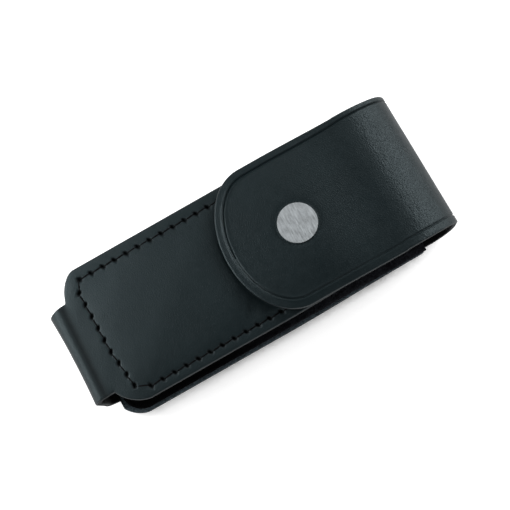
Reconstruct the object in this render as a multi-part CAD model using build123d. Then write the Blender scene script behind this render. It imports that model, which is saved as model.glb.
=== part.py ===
from build123d import *
import math
import os

# Belt pouch for a folding tool. It lies on its back: +X runs from the bottom end to the flap fold,
# +Y is the pouch's left side when it is worn, +Z is up, through the front. All sizes in millimetres.

# ---- driving dimensions ----
pouch_length = 122.2  # bottom nose to flap fold
leather = 2.2  # panels, flap and strap
loop_leather = 2.2
gusset_leather = 1.4
pocket_depth = 19.6  # clear height between the panels
loop_gap = 5.0  # clear height for the belt

front_width = 45.5
back_width = 46.6
front_nose = 8.0  # front shoulder to bottom nose
back_nose = 5.1  # back shoulder to bottom nose
front_mouth_setback = 17.1  # front mouth edge to flap fold
back_mouth_setback = 10.8  # back mouth edge to flap fold
neck_width = 30.6
shoulder_radius = 6.6
mouth_radius = 2.0

gusset_flange = 6.4  # sewn width
gusset_fold = 1.6  # how far the bellows folds inwards
gusset_bend = 0.8  # bend radius at the gusset's mid-line

flap_fold_taper = 1.2  # how much narrower the flap is at the fold than the back panel
flap_root_taper = 4.2  # and at its root
flap_back_bend = 8.0  # mid-line radius of the fold at the back
flap_front_bend = 12.4  # mid-line radius of the fold at the front
flap_fold_flat = 0.1  # flat length between the front bend and its hinge
flap_front_length = 66.4  # fold to tongue tip
tongue_round = 16.3  # length of the half-elliptical end
tongue_tip_rise = 1.1  # underside of the tip above the front panel
flap_edge_rise = 0.5  # underside of the flap's long edges above the front panel
flap_fold_rise = 1.4  # underside of the flap at the fold above the front panel
hinge_gap = 0.3

snap_setback = 42.5  # press stud axis to flap fold
cap_radius = 6.25
cap_rim = 0.5
cap_dome = 0.6
cap_bite = 0.25  # how deep the cap is pressed into the flap
post_radius = 1.5
post_roll = 0.6  # how far the post's end is rolled outwards
rivet_clearance = 0.05
rolled_edge = 0.3  # thickness of the rolled end of the post
socket_radius = 5.2
socket_plate = 0.4
socket_wall = 0.4
socket_lip = 0.3
spring_wire = 0.5  # wire radius
spring_opening = 5.04  # clear diameter of the ring
spring_growth = 0.33  # room for the ring to open
spring_hold = 0.07  # overlap of the ring on the lip
spring_split = 15.0  # degrees left open in the ring
neck_clearance = 0.32  # between ring and stud neck
neck_rise = 0.08  # top of the stud's neck above the middle of the ring
stud_head_radius = 2.75
stud_head_band = 0.15
stud_head_dome = 0.3
stud_crown_radius = 1.95
stud_flange_radius = 4.4
stud_flange = 0.4
stud_air = 0.15  # free height between stud and socket parts
eyelet_radius = 4.6
eyelet_flange = 0.5

loop_width = 30.0
loop_opening = 52.0  # clear length for the belt's width
loop_tab = 12.0
loop_ramp = 5.0
loop_bend = 3.0  # mid-line radius
loop_shift = 5.0  # loop centre towards the mouth

back_seam_inset = 3.6
front_left_seam_inset = 3.75
front_right_seam_inset = 3.0
seam_bottom_inset = 4.5
seam_corner_side = 6.5  # start of the corner stitch from the shoulder
seam_corner_bottom = 3.6
right_corner_side = 10.4  # the front's long corner stitch on the right: its start
right_corner_inset = 6.1  # its end from the shoulder
right_corner_bottom = 2.45  # its end from the side row
column_bend = 27.75  # left edge to where the front's bottom row starts to lean inwards
column_lean = 0.15  # how far that row has moved inwards there
seam_mouth_inset = 2.0
loop_seam_inset = 2.0
stitch_pitch = 4.05
stitch_gap = 0.6
thread_width = 0.9
thread_height = 0.5
channel_width = 1.3
channel_depth = 0.6

# ---- levels, from the resting face up ----
loop_top = loop_leather
back_low = loop_top + loop_gap
back_top = back_low + leather
front_low = back_top + pocket_depth
front_top = front_low + leather
pocket_middle = (back_top + front_low) / 2
back_mid_line = back_low + leather / 2

# ---- places along the pouch ----
nose_x = -pouch_length / 2
fold_x = pouch_length / 2
front_shoulder_x = nose_x + front_nose
back_shoulder_x = nose_x + back_nose
front_mouth_x = fold_x - front_mouth_setback
back_mouth_x = fold_x - back_mouth_setback
snap_x = fold_x - snap_setback
tip_x = fold_x - flap_front_length
back_hinge_x = back_mouth_x + hinge_gap + leather / 2
flap_mid_x = fold_x - leather / 2
arch_end_x = flap_mid_x - flap_front_bend - flap_fold_flat
front_hinge_x = arch_end_x - hinge_gap - leather / 2

# ---- levels of the press stud ----
neck_radius = spring_opening / 2 - neck_clearance
spring_radius = spring_opening / 2 + spring_wire
lip_radius = spring_radius + spring_wire - spring_hold
cavity_radius = spring_radius + spring_wire + spring_growth
stud_flange_top = front_top + stud_flange
socket_low = stud_flange_top + stud_air
lip_top = socket_low + socket_lip
spring_z = lip_top + spring_wire
neck_top = spring_z + neck_rise
head_low = neck_top + stud_head_radius - neck_radius
head_top = head_low + stud_head_band
stud_top = head_top + stud_head_dome
plate_low = stud_top + stud_air + rolled_edge
flap_snap_low = plate_low + socket_plate
flap_snap_top = flap_snap_low + leather
cap_low = flap_snap_top - cap_bite
rivet_hole = post_radius + rivet_clearance

# ---- widths of the flap, which is cut in one with the back panel ----
flap_width = back_width
flap_fold_width = back_width - flap_fold_taper
flap_root_width = back_width - flap_root_taper

# ---- levels of the flap's underside ----
flap_fold_low = front_top + flap_fold_rise
flap_edge_low = front_top + flap_edge_rise
tip_low = front_top + tongue_tip_rise
fold_mid_line = flap_fold_low + leather / 2


def save(node, *solids):
    shape = solids[0] if len(solids) == 1 else Compound(children=list(solids))
    export_step(shape, f"parts/{node}.step")


def prism(outline, low, high):
    return Pos(0, 0, low) * extrude(outline, amount=high - low, dir=(0, 0, 1))


def across(section, width):
    """A side-view section, extruded evenly to both sides."""
    return extrude(Plane.XZ * section, amount=width / 2, both=True)


def turned(section):
    """A solid of revolution about the press stud's axis; the section's x is the radius."""
    return Pos(snap_x, 0, 0) * revolve(Plane.XZ * make_face(section), Axis.Z)


def ring_of(*points):
    return Polyline(points, close=True)


def bore(radius, low, high):
    return Pos(snap_x, 0, low) * extrude(Circle(radius), amount=high - low)


def panel_outline(shoulder_x, mouth_x, width):
    """Panel seen from above, with round shoulders at the bottom end."""
    half = width / 2
    corners = [(shoulder_x, -half), (mouth_x, -half), (mouth_x, half), (shoulder_x, half)]
    radii = [shoulder_radius, mouth_radius, mouth_radius, shoulder_radius]
    return make_face(FilletPolyline(*corners, radius=radii, close=True))


def segments(points, closed=False):
    ends = points[1:] + points[:1] if closed else points[1:]
    return list(zip(points, ends))


def bar(start, end, length, width, low, height):
    """A straight bar centred between two points."""
    middle_x = (start[0] + end[0]) / 2
    middle_y = (start[1] + end[1]) / 2
    turn = math.degrees(math.atan2(end[1] - start[1], end[0] - start[0]))
    solid = Box(length, width, height, align=(Align.CENTER, Align.CENTER, Align.MIN))
    return Pos(middle_x, middle_y, low) * Rot(0, 0, turn) * solid


def stitches(points, low, closed=False):
    """Separate stitches along a seam, each lying on the floor of its channel."""
    bars = []
    for start, end in segments(points, closed):
        length = math.dist(start, end)
        count = max(1, round(length / stitch_pitch))
        for i in range(count):
            holes = [
                (start[0] + (end[0] - start[0]) * k / count, start[1] + (end[1] - start[1]) * k / count)
                for k in (i, i + 1)
            ]
            bars.append(bar(*holes, length / count - stitch_gap, thread_width, low, thread_height))
    return bars


def channel(points, low, closed=False):
    """Groove that the stitches lie in."""
    cuts = []
    for start, end in segments(points, closed):
        length = math.dist(start, end) + channel_width
        cuts.append(bar(start, end, length, channel_width, low, channel_depth))
    return cuts


def side_seam(shoulder_x, mouth_x, row_y, corner_side):
    return [(mouth_x - seam_mouth_inset, row_y), (shoulder_x + corner_side, row_y)]


def bottom_seam(shoulder_x, row_y):
    """The bottom row with its two slanted corner stitches."""
    column_x = shoulder_x + seam_bottom_inset
    column_y = row_y - seam_corner_bottom
    corner_x = shoulder_x + seam_corner_side
    return [(corner_x, row_y), (column_x, column_y), (column_x, -column_y), (corner_x, -row_y)]


def front_bottom_seam():
    """The front's bottom row, which leans inwards towards a long corner stitch on the right."""
    column_x = front_shoulder_x + seam_bottom_inset
    bend_y = front_width / 2 - column_bend
    return [
        (front_shoulder_x + seam_corner_side, front_left_row),
        (column_x, front_left_row - seam_corner_bottom),
        (column_x + column_lean, bend_y),
        (front_shoulder_x + right_corner_inset, front_right_row + right_corner_bottom),
        (front_shoulder_x + right_corner_side, front_right_row),
    ]


def tab_seam(outer_x, inner_x):
    half = loop_width / 2 - loop_seam_inset
    return [(outer_x, -half), (inner_x, -half), (inner_x, half), (outer_x, half)]


front_outline = panel_outline(front_shoulder_x, front_mouth_x, front_width)
back_outline = panel_outline(back_shoulder_x, back_mouth_x, back_width)
front_left_row = front_width / 2 - front_left_seam_inset
front_right_row = front_right_seam_inset - front_width / 2
back_row = back_width / 2 - back_seam_inset
left_front_seam = side_seam(front_shoulder_x, front_mouth_x, front_left_row, seam_corner_side)
right_front_seam = side_seam(front_shoulder_x, front_mouth_x, front_right_row, right_corner_side)
bottom_front_seam = front_bottom_seam()
left_back_seam = side_seam(back_shoulder_x, back_mouth_x, back_row, seam_corner_side)
right_back_seam = side_seam(back_shoulder_x, back_mouth_x, -back_row, seam_corner_side)
bottom_back_seam = bottom_seam(back_shoulder_x, back_row)

loop_half = loop_opening / 2
tab_inner = loop_half + loop_ramp
tab_outer = tab_inner + loop_tab
mouth_tab_seam = tab_seam(loop_shift + tab_outer - loop_seam_inset, loop_shift + tab_inner + loop_seam_inset)
bottom_tab_seam = tab_seam(loop_shift - tab_outer + loop_seam_inset, loop_shift - tab_inner - loop_seam_inset)


def make_front_panel():
    panel = prism(front_outline, front_low, front_top)
    panel -= bore(rivet_hole, front_low, front_top)
    channel_low = front_top - channel_depth
    for seam in (left_front_seam, right_front_seam, bottom_front_seam):
        panel -= channel(seam, channel_low)
    return panel


def make_back_panel():
    panel = prism(back_outline, back_low, back_top)
    for seam in (left_back_seam, right_back_seam, bottom_back_seam):
        panel -= channel(seam, back_low)
    return panel


def nose_half(shoulder_x, side, inset):
    """Quarter ellipse from a shoulder to the nose; side is 1 above the middle and -1 below."""
    reach = shoulder_x - nose_x - inset
    height = pocket_depth / 2 + leather - inset
    return EllipticalCenterArc((shoulder_x, pocket_middle), reach, height, 180, arc_size=-90 * side)


def make_bottom_strap():
    outer_front = nose_half(front_shoulder_x, 1, 0)
    inner_front = nose_half(front_shoulder_x, 1, leather)
    outer_back = nose_half(back_shoulder_x, -1, 0)
    inner_back = nose_half(back_shoulder_x, -1, leather)
    front_end = Line((front_shoulder_x, front_top), (front_shoulder_x, front_low))
    back_end = Line((back_shoulder_x, back_top), (back_shoulder_x, back_low))
    edges = outer_front + inner_front + outer_back + inner_back + front_end + back_end
    return across(make_face(edges), neck_width)


def bellows_line(front_edge, back_edge, inner, fold):
    """Mid-line of the gusset: front flange, inward fold, back flange. Inwards is towards the fold."""
    half_sheet = gusset_leather / 2
    points = [
        (front_edge, front_low - half_sheet),
        (inner, front_low - half_sheet),
        (fold, pocket_middle),
        (inner, back_top + half_sheet),
        (back_edge, back_top + half_sheet),
    ]
    return trace(FilletPolyline(*points, radius=gusset_bend), gusset_leather)


def gusset_room():
    """The room between the panels, bounded by their outlines."""
    return prism(front_outline, pocket_middle, front_low) + prism(back_outline, back_top, pocket_middle)


def mitre(side):
    """Wedge seen from above that holds one side gusset; its slanted edge is the corner mitre."""
    half = back_width
    corner = (front_shoulder_x, side * front_width / 2)
    inside = (corner[0] + front_width / 2, 0)
    outside = (corner[0] - half, corner[1] + side * half)
    far = (fold_x, outside[1])
    return make_face(Polyline(inside, outside, far, (fold_x, 0), close=True))


def mouth_cut():
    """Solid beyond the slanted mouth edge of the gussets."""
    far = fold_x + pouch_length
    points = [
        (back_mouth_x, back_top),
        (front_mouth_x, front_low),
        (far, front_low),
        (far, back_top),
    ]
    return across(make_face(Polyline(points, close=True)), 2 * back_width)


def make_side_gusset(side):
    inner = side * (front_width / 2 - gusset_flange)
    fold = inner - side * gusset_fold
    section = bellows_line(side * front_width / 2, side * back_width / 2, inner, fold)
    length = back_mouth_x - nose_x
    sheet = Pos(nose_x, 0, 0) * extrude(Plane.YZ * section, amount=length)
    corner = prism(mitre(side), back_top, front_low)
    return (sheet & corner & gusset_room()) - mouth_cut()


def make_bottom_gusset():
    inner = front_shoulder_x + gusset_flange
    section = bellows_line(front_shoulder_x, back_shoulder_x, inner, inner + gusset_fold)
    sheet = across(section, back_width) & gusset_room()
    for side in (1, -1):
        sheet -= prism(mitre(side), back_top, front_low)
    return sheet


def half_round(x, z, side):
    """Side view of a sheet's half-round hinge end; side is the way it bulges along the pouch."""
    radius = leather / 2
    curve = ThreePointArc((x, z - radius), (x + side * radius, z), (x, z + radius))
    return make_face(curve + Line((x, z + radius), (x, z - radius)))


def make_flap_arch():
    points = [
        (back_hinge_x, back_mid_line),
        (flap_mid_x, back_mid_line),
        (flap_mid_x, fold_mid_line),
        (arch_end_x, fold_mid_line),
    ]
    line = FilletPolyline(*points, radius=[flap_back_bend, flap_front_bend])
    section = trace(line, leather) + half_round(back_hinge_x, back_mid_line, -1)
    low = back_low
    high = fold_mid_line + leather / 2
    root = flap_root_width / 2
    fold = flap_fold_width / 2
    top = flap_width / 2
    middle = (low + high) / 2
    edges = ThreePointArc((root, low), (fold, middle), (top, high)) + Line((top, high), (-top, high))
    edges += ThreePointArc((-top, high), (-fold, middle), (-root, low)) + Line((-root, low), (root, low))
    taper = extrude(Plane.YZ * make_face(edges), amount=pouch_length)
    return across(section, flap_width) & taper


def sheet_section(x, middle_low, edge_low):
    """Cross-section of the flap at x: a sheet bowed upwards between its long edges."""
    half = flap_width / 2
    if middle_low == edge_low:
        low_edge = Line((-half, edge_low), (half, edge_low))
        high_edge = Line((half, edge_low + leather), (-half, edge_low + leather))
    else:
        low_edge = ThreePointArc((-half, edge_low), (0, middle_low), (half, edge_low))
        high_edge = ThreePointArc(
            (half, edge_low + leather), (0, middle_low + leather), (-half, edge_low + leather)
        )
    right_edge = Line((half, edge_low), (half, edge_low + leather))
    left_edge = Line((-half, edge_low + leather), (-half, edge_low))
    return Plane((x, 0, 0), x_dir=(0, 1, 0), z_dir=(1, 0, 0)) * make_face(
        low_edge + right_edge + high_edge + left_edge
    )


def tongue_outline():
    half = flap_width / 2
    round_x = tip_x + tongue_round
    tip = EllipticalCenterArc((round_x, 0), tongue_round, half, 90, arc_size=180)
    far = fold_x
    sides = Line((round_x, half), (far, half)) + Line((far, half), (far, -half))
    sides += Line((far, -half), (round_x, -half))
    return make_face(tip + sides)


def make_flap_tongue():
    sections = [
        sheet_section(tip_x, tip_low, flap_edge_low),
        sheet_section(snap_x, flap_snap_low, flap_edge_low),
        sheet_section(front_hinge_x, flap_fold_low, flap_fold_low),
    ]
    tongue = loft(sections) & prism(tongue_outline(), front_top, flap_snap_top + leather)
    tongue += across(half_round(front_hinge_x, fold_mid_line, 1), flap_width)
    tongue -= bore(rivet_hole, front_top, flap_snap_top + leather)
    tongue -= bore(cap_radius, cap_low, flap_snap_top + leather)
    tongue -= bore(socket_radius, front_top, flap_snap_low)
    return tongue


def make_belt_loop():
    tab_mid = back_low - loop_leather / 2
    strap_mid = loop_leather / 2
    points = [
        (loop_shift - tab_outer, tab_mid),
        (loop_shift - tab_inner, tab_mid),
        (loop_shift - loop_half, strap_mid),
        (loop_shift + loop_half, strap_mid),
        (loop_shift + tab_inner, tab_mid),
        (loop_shift + tab_outer, tab_mid),
    ]
    strap = across(trace(FilletPolyline(*points, radius=loop_bend), loop_leather), loop_width)
    tab_low = back_low - loop_leather
    for seam in (mouth_tab_seam, bottom_tab_seam):
        strap -= channel(seam, tab_low, closed=True)
    return strap


def make_snap_cap():
    rim_top = cap_low + cap_rim
    crown_top = rim_top + cap_dome
    crown_bend = (cap_radius**2 + cap_dome**2) / (2 * cap_dome)
    crown_angle = math.degrees(math.asin(cap_radius / crown_bend))
    crown = CenterArc((0, crown_top - crown_bend), crown_bend, 90 - crown_angle, crown_angle)
    post = Polyline(
        (0, crown_top),
        (0, plate_low - rolled_edge),
        (post_radius + post_roll, plate_low - rolled_edge),
        (post_radius + post_roll, plate_low),
        (post_radius, plate_low),
        (post_radius, cap_low),
        (cap_radius, cap_low),
        (cap_radius, rim_top),
    )
    return turned(post + crown)


def make_snap_socket():
    skirt_radius = cavity_radius + socket_wall
    return turned(ring_of(
        (lip_radius, socket_low),
        (skirt_radius, socket_low),
        (skirt_radius, plate_low),
        (socket_radius, plate_low),
        (socket_radius, flap_snap_low),
        (rivet_hole, flap_snap_low),
        (rivet_hole, plate_low),
        (cavity_radius, plate_low),
        (cavity_radius, lip_top),
        (lip_radius, lip_top),
    ))


def make_snap_spring():
    wire = Plane.XZ * Pos(spring_radius, spring_z) * Circle(spring_wire)
    return Pos(snap_x, 0, 0) * revolve(wire, Axis.Z, 360 - spring_split)


def make_snap_stud():
    return turned(ring_of(
        (rivet_hole, front_top),
        (stud_flange_radius, front_top),
        (stud_flange_radius, stud_flange_top),
        (neck_radius, stud_flange_top),
        (neck_radius, neck_top),
        (stud_head_radius, head_low),
        (stud_head_radius, head_top),
        (stud_crown_radius, stud_top),
        (rivet_hole, stud_top),
    ))


def make_stud_eyelet():
    return turned(ring_of(
        (0, front_low - eyelet_flange),
        (eyelet_radius, front_low - eyelet_flange),
        (eyelet_radius, front_low),
        (post_radius, front_low),
        (post_radius, head_top),
        (0, head_top),
    ))


os.makedirs("parts", exist_ok=True)

save("front_panel", make_front_panel())
save("back_panel", make_back_panel())
save("bottom_strap", make_bottom_strap())
save("left_gusset", make_side_gusset(1))
save("right_gusset", make_side_gusset(-1))
save("bottom_gusset", make_bottom_gusset())
save("belt_loop", make_belt_loop())
save("flap_arch", make_flap_arch())
save("flap_tongue", make_flap_tongue())
save("snap_cap", make_snap_cap())
save("snap_socket", make_snap_socket())
save("snap_spring", make_snap_spring())
save("snap_stud", make_snap_stud())
save("stud_eyelet", make_stud_eyelet())

front_thread_low = front_top - channel_depth
save("left_front_stitches", *stitches(left_front_seam, front_thread_low))
save("right_front_stitches", *stitches(right_front_seam, front_thread_low))
save("bottom_front_stitches", *stitches(bottom_front_seam, front_thread_low))

back_thread_low = back_low + channel_depth - thread_height
save("left_back_stitches", *stitches(left_back_seam, back_thread_low))
save("right_back_stitches", *stitches(right_back_seam, back_thread_low))
save("bottom_back_stitches", *stitches(bottom_back_seam, back_thread_low))

tab_thread_low = back_low - loop_leather + channel_depth - thread_height
save("mouth_tab_stitches", *stitches(mouth_tab_seam, tab_thread_low, closed=True))
save("bottom_tab_stitches", *stitches(bottom_tab_seam, tab_thread_low, closed=True))
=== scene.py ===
"""Sewn leather belt pouch, dressed over its CAD frame.

Lengths in the code are millimetres unless a name says otherwise.
"""

import math
from collections import namedtuple

import bmesh
import bpy
import numpy as np
from bpy.props import FloatProperty, FloatVectorProperty, PointerProperty
from mathutils import Matrix, Vector


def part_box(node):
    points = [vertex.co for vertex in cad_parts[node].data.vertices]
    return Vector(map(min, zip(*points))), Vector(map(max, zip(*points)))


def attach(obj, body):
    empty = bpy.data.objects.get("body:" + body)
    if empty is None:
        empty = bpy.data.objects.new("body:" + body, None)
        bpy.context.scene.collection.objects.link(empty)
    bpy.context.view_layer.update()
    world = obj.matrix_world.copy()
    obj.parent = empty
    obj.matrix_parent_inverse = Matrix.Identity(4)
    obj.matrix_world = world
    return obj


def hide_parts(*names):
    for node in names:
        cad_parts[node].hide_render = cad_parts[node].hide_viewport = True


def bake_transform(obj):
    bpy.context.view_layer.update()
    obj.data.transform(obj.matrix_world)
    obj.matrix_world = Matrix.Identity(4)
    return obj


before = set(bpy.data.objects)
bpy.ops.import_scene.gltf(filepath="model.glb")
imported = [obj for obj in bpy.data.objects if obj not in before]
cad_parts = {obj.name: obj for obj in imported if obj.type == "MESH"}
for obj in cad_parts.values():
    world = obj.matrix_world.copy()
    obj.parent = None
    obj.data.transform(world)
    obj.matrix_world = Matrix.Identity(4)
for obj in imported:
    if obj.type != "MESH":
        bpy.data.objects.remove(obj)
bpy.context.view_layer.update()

bl_info = {
    "name": "Leather belt pouch",
    "version": (1, 0, 0),
    "blender": (4, 5, 0),
    "location": "3D View > Sidebar > Pouch",
    "description": "Sewn leather pouch with a folding flap and a press stud",
    "category": "Object",
}

MM = 0.001
SIDES = (1, -1)


def span(node):
    """Lowest and highest corner of a CAD node, in millimetres."""
    low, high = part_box(node)
    return np.array(low) / MM, np.array(high) / MM


FRONT_LOW, FRONT_HIGH = span("front_panel")
BACK_LOW, BACK_HIGH = span("back_panel")
STRAP_LOW = span("bottom_strap")[0]
ARCH_LOW, ARCH_HIGH = span("flap_arch")
TONGUE_LOW, TONGUE_HIGH = span("flap_tongue")
LOOP_LOW, LOOP_HIGH = span("belt_loop")
CAP_LOW, CAP_HIGH = span("snap_cap")
PLATE_Z = span("snap_socket")[1][2]  # top of the socket's plate, which the flap rests on

LEATHER = FRONT_HIGH[2] - FRONT_LOW[2]
HALF_LEATHER = LEATHER / 2
SNAP_X = (CAP_LOW[0] + CAP_HIGH[0]) / 2
CAP_RADIUS = (CAP_HIGH[0] - CAP_LOW[0]) / 2
MOUTH_RADIUS = 2.0
POCKET_MIDDLE = (BACK_HIGH[2] + FRONT_LOW[2]) / 2

FRONT_SEAMS = ("left_front_stitches", "bottom_front_stitches", "right_front_stitches")
BACK_SEAMS = ("left_back_stitches", "bottom_back_stitches", "right_back_stitches")
TAB_SEAMS = ("mouth_tab_stitches", "bottom_tab_stitches")


# ---------------------------------------------------------------- settings


class PouchSizes(bpy.types.PropertyGroup):
    """Leather and thread sizes that the CAD frame doesn't fix."""

    edge_round: FloatProperty(
        name="Edge rounding", description="Radius of the burnished leather edges",
        default=0.42 * MM, unit="LENGTH",
    )
    pillow: FloatProperty(
        name="Pillow", description="How far the front panel swells inside its seam",
        default=1.3 * MM, unit="LENGTH",
    )
    crease_depth: FloatProperty(
        name="Crease depth", description="Depth of the line creased round the flap",
        default=0.38 * MM, unit="LENGTH",
    )
    channel_depth: FloatProperty(
        name="Stitch channel depth", description="How far the thread pulls the leather in",
        default=0.03 * MM, unit="LENGTH",
    )
    hole_length: FloatProperty(
        name="Awl hole length", description="Length of the slanted stitch holes",
        default=1.65 * MM, unit="LENGTH",
    )
    hole_width: FloatProperty(
        name="Awl hole width", description="Width of the slanted stitch holes",
        default=1.0 * MM, unit="LENGTH",
    )
    thread_width: FloatProperty(
        name="Thread width", description="Width of a stitch",
        default=0.5 * MM, unit="LENGTH",
    )


class PouchColours(bpy.types.PropertyGroup):
    """Colours of the finishes."""

    leather: FloatVectorProperty(
        name="Leather", description="Grain side of the black leather",
        default=(0.0042, 0.0088, 0.0104), subtype="COLOR", min=0, max=1,
    )
    flesh: FloatVectorProperty(
        name="Flesh side", description="Inner side of the black leather",
        default=(0.0045, 0.0060, 0.0072), subtype="COLOR", min=0, max=1,
    )
    margin: FloatVectorProperty(
        name="Back margin", description="Inner side of the back panel, which shows along its edge",
        default=(0.075, 0.100, 0.115), subtype="COLOR", min=0, max=1,
    )
    # Near black: partly the suede's own dark colour, and partly painted shade for the deep shade between the
    # panels.
    gusset: FloatVectorProperty(
        name="Gusset", description="Fuzzy split leather of the bellows",
        default=(0.0016, 0.0017, 0.0024), subtype="COLOR", min=0, max=1,
    )
    # Painted light: the gussets are painted paler towards the mouth, where light reaches them, and stay
    # darker towards the nose.
    rubbed_and_lit: FloatVectorProperty(
        name="Rubbed gusset", description="Gusset suede rubbed paler at the mouth",
        default=(0.022, 0.024, 0.029), subtype="COLOR", min=0, max=1,
    )
    thread: FloatVectorProperty(
        name="Thread", description="Waxed thread",
        default=(0.0016, 0.0020, 0.0026), subtype="COLOR", min=0, max=1,
    )
    silver: FloatVectorProperty(
        name="Silver", description="Plating of the press stud",
        default=(0.88, 0.94, 0.97), subtype="COLOR", min=0, max=1,
    )
    spring: FloatVectorProperty(
        name="Spring", description="Bright wire of the press stud's ring",
        default=(0.56, 0.56, 0.57), subtype="COLOR", min=0, max=1,
    )
    floor: FloatVectorProperty(
        name="Floor", description="Plain pale floor",
        default=(0.80, 0.80, 0.80), subtype="COLOR", min=0, max=1,
    )


class PouchLight(bpy.types.PropertyGroup):
    """Studio lights."""

    key: FloatProperty(
        name="Key light", description="Power of the high soft light",
        default=0.5, unit="POWER",
    )
    top: FloatProperty(
        name="Top light", description="Power of the light that casts the shadows",
        default=0.18, unit="POWER",
    )
    side: FloatProperty(
        name="Side light", description="Power of the light at the fold",
        default=4.4, unit="POWER",
    )
    nose: FloatProperty(
        name="Nose light", description="Power of the light at the nose",
        default=2.6, unit="POWER",
    )
    fill: FloatProperty(
        name="Fill light", description="Power of the light on the right side",
        default=0.7, unit="POWER",
    )
    room: FloatProperty(
        name="Room", description="Strength of the even room light",
        default=0.055, min=0,
    )


def sizes():
    return bpy.context.scene.pouch_sizes


def colours():
    return bpy.context.scene.pouch_colours


# ---------------------------------------------------------------- mesh helpers


def select_only(*pieces):
    """Selects these pieces and nothing else."""
    bpy.ops.object.select_all(action="DESELECT")
    for piece in pieces:
        piece.select_set(True)
    if pieces:
        bpy.context.view_layer.objects.active = pieces[0]


def face_outwards(piece, smooth_degrees):
    """Turns all faces of a piece outwards and smooths its soft edges."""
    select_only(piece)
    bpy.ops.object.mode_set(mode="EDIT")
    bpy.ops.mesh.select_all(action="SELECT")
    bpy.ops.mesh.normals_make_consistent(inside=False)
    bpy.ops.object.mode_set(mode="OBJECT")
    bpy.ops.object.shade_smooth_by_angle(angle=math.radians(smooth_degrees))


def vertex_places(piece):
    places = np.empty(len(piece.data.vertices) * 3)
    piece.data.vertices.foreach_get("co", places)
    return places.reshape(-1, 3)


def put_vertices(piece, places):
    piece.data.vertices.foreach_set("co", (places * MM).astype(np.float32).ravel())
    piece.data.update()


def note(piece, name, values):
    """A number for each vertex, for the materials to read."""
    layer = piece.data.attributes.new(name, "FLOAT", "POINT")
    layer.data.foreach_set("value", np.asarray(values, np.float32))


def stations(start, end, coarse, fine, marks=(), reach=0.8):
    """Places from start to end: fine steps within reach of each mark, growing to coarse ones elsewhere."""
    places = [start]
    while places[-1] < end - fine / 2:
        here = places[-1]
        gap = min((abs(here + fine / 2 - mark) for mark in marks), default=reach + 2 * coarse)
        places.append(here + min(coarse, fine + max(0.0, gap - reach) / 2))
    places = np.array(places)
    return start + (places - start) * (end - start) / (places[-1] - start)


def ramp(value, start, end):
    """0 before start, 1 after end, smooth between them."""
    t = np.clip((value - start) / (end - start), 0, 1)
    return t * t * (3 - 2 * t)


def past(value):
    """A distance, or 0 where it is below 0."""
    return np.clip(value, 0, None)


def rounded(distance, radius):
    """Drop of a rounded edge at a distance inside it."""
    inside = np.clip(radius - distance, 0, radius)
    return radius - np.sqrt(radius**2 - inside**2)


def rounded_edge(edge):
    """Drop of a burnished leather edge."""
    return rounded(edge, sizes().edge_round / MM)


EDGE_DROOP, DROOP_REACH = 0.22, 1.6  # how far a cut edge hangs down, and from how far in


def edge_droop(edge):
    """Fall of the leather towards its cut edge."""
    return EDGE_DROOP * np.exp(-edge / DROOP_REACH)


def gap_to_line(x, y, line):
    """Distance of each point to a line of straight runs."""
    best = np.full(x.shape, np.inf)
    for (ax, ay), (bx, by) in zip(line, line[1:]):
        dx, dy = bx - ax, by - ay
        length = dx * dx + dy * dy
        t = np.clip(((x - ax) * dx + (y - ay) * dy) / length, 0, 1) if length else 0
        best = np.minimum(best, np.hypot(x - ax - t * dx, y - ay - t * dy))
    return best


def unit(way):
    return way / np.linalg.norm(way)


class Course:
    """A line of straight runs with round bends, followed by its length: where it is and which way it goes."""

    BEND_STEPS = 64

    def __init__(self, points, radii):
        points = [np.array(point, float) for point in points]
        self.samples = []
        self.length = 0.0
        here = points[0]
        for before, corner, after, radius in zip(points, points[1:], points[2:], radii):
            way_in, way_out = unit(corner - before), unit(after - corner)
            turn = math.atan2(way_in[0] * way_out[1] - way_in[1] * way_out[0], way_in @ way_out)
            trim = radius * math.tan(abs(turn) / 2)
            self.run(here, corner - way_in * trim, way_in)
            self.bend(corner - way_in * trim, radius, way_in, turn)
            here = corner + way_out * trim
        self.run(here, points[-1], unit(points[-1] - here))
        self.samples = np.array(self.samples)
        self.samples[:, 3] = np.unwrap(self.samples[:, 3])

    def run(self, start, end, way):
        size = np.linalg.norm(end - start)
        for t in (0.0, 1.0):
            place = start + (end - start) * t
            self.samples.append((self.length + size * t, *place, math.atan2(way[1], way[0])))
        self.length += size

    def bend(self, start, radius, way, turn):
        size = radius * abs(turn)
        to_centre = math.copysign(radius, turn)
        centre = start + to_centre * np.array([-way[1], way[0]])
        heading = math.atan2(way[1], way[0])
        for t in np.linspace(0, 1, self.BEND_STEPS + 1):
            angle = heading + turn * t
            place = centre - to_centre * np.array([-math.sin(angle), math.cos(angle)])
            self.samples.append((self.length + size * t, *place, angle))
        self.length += size

    def angle(self, lengths):
        return np.interp(lengths, self.samples[:, 0], self.samples[:, 3])

    def at(self, lengths, offset=0.0):
        """Points at these lengths, moved to the left of the way along by offset."""
        a, b = (np.interp(lengths, self.samples[:, 0], self.samples[:, k]) for k in (1, 2))
        angle = self.angle(lengths)
        return a - offset * np.sin(angle), b + offset * np.cos(angle)

    def bend_at(self, lengths, window=1.0):
        """How much the line turns round each length, in radians for each millimetre."""
        return np.abs(self.angle(lengths + window) - self.angle(lengths - window)) / (2 * window)


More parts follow.
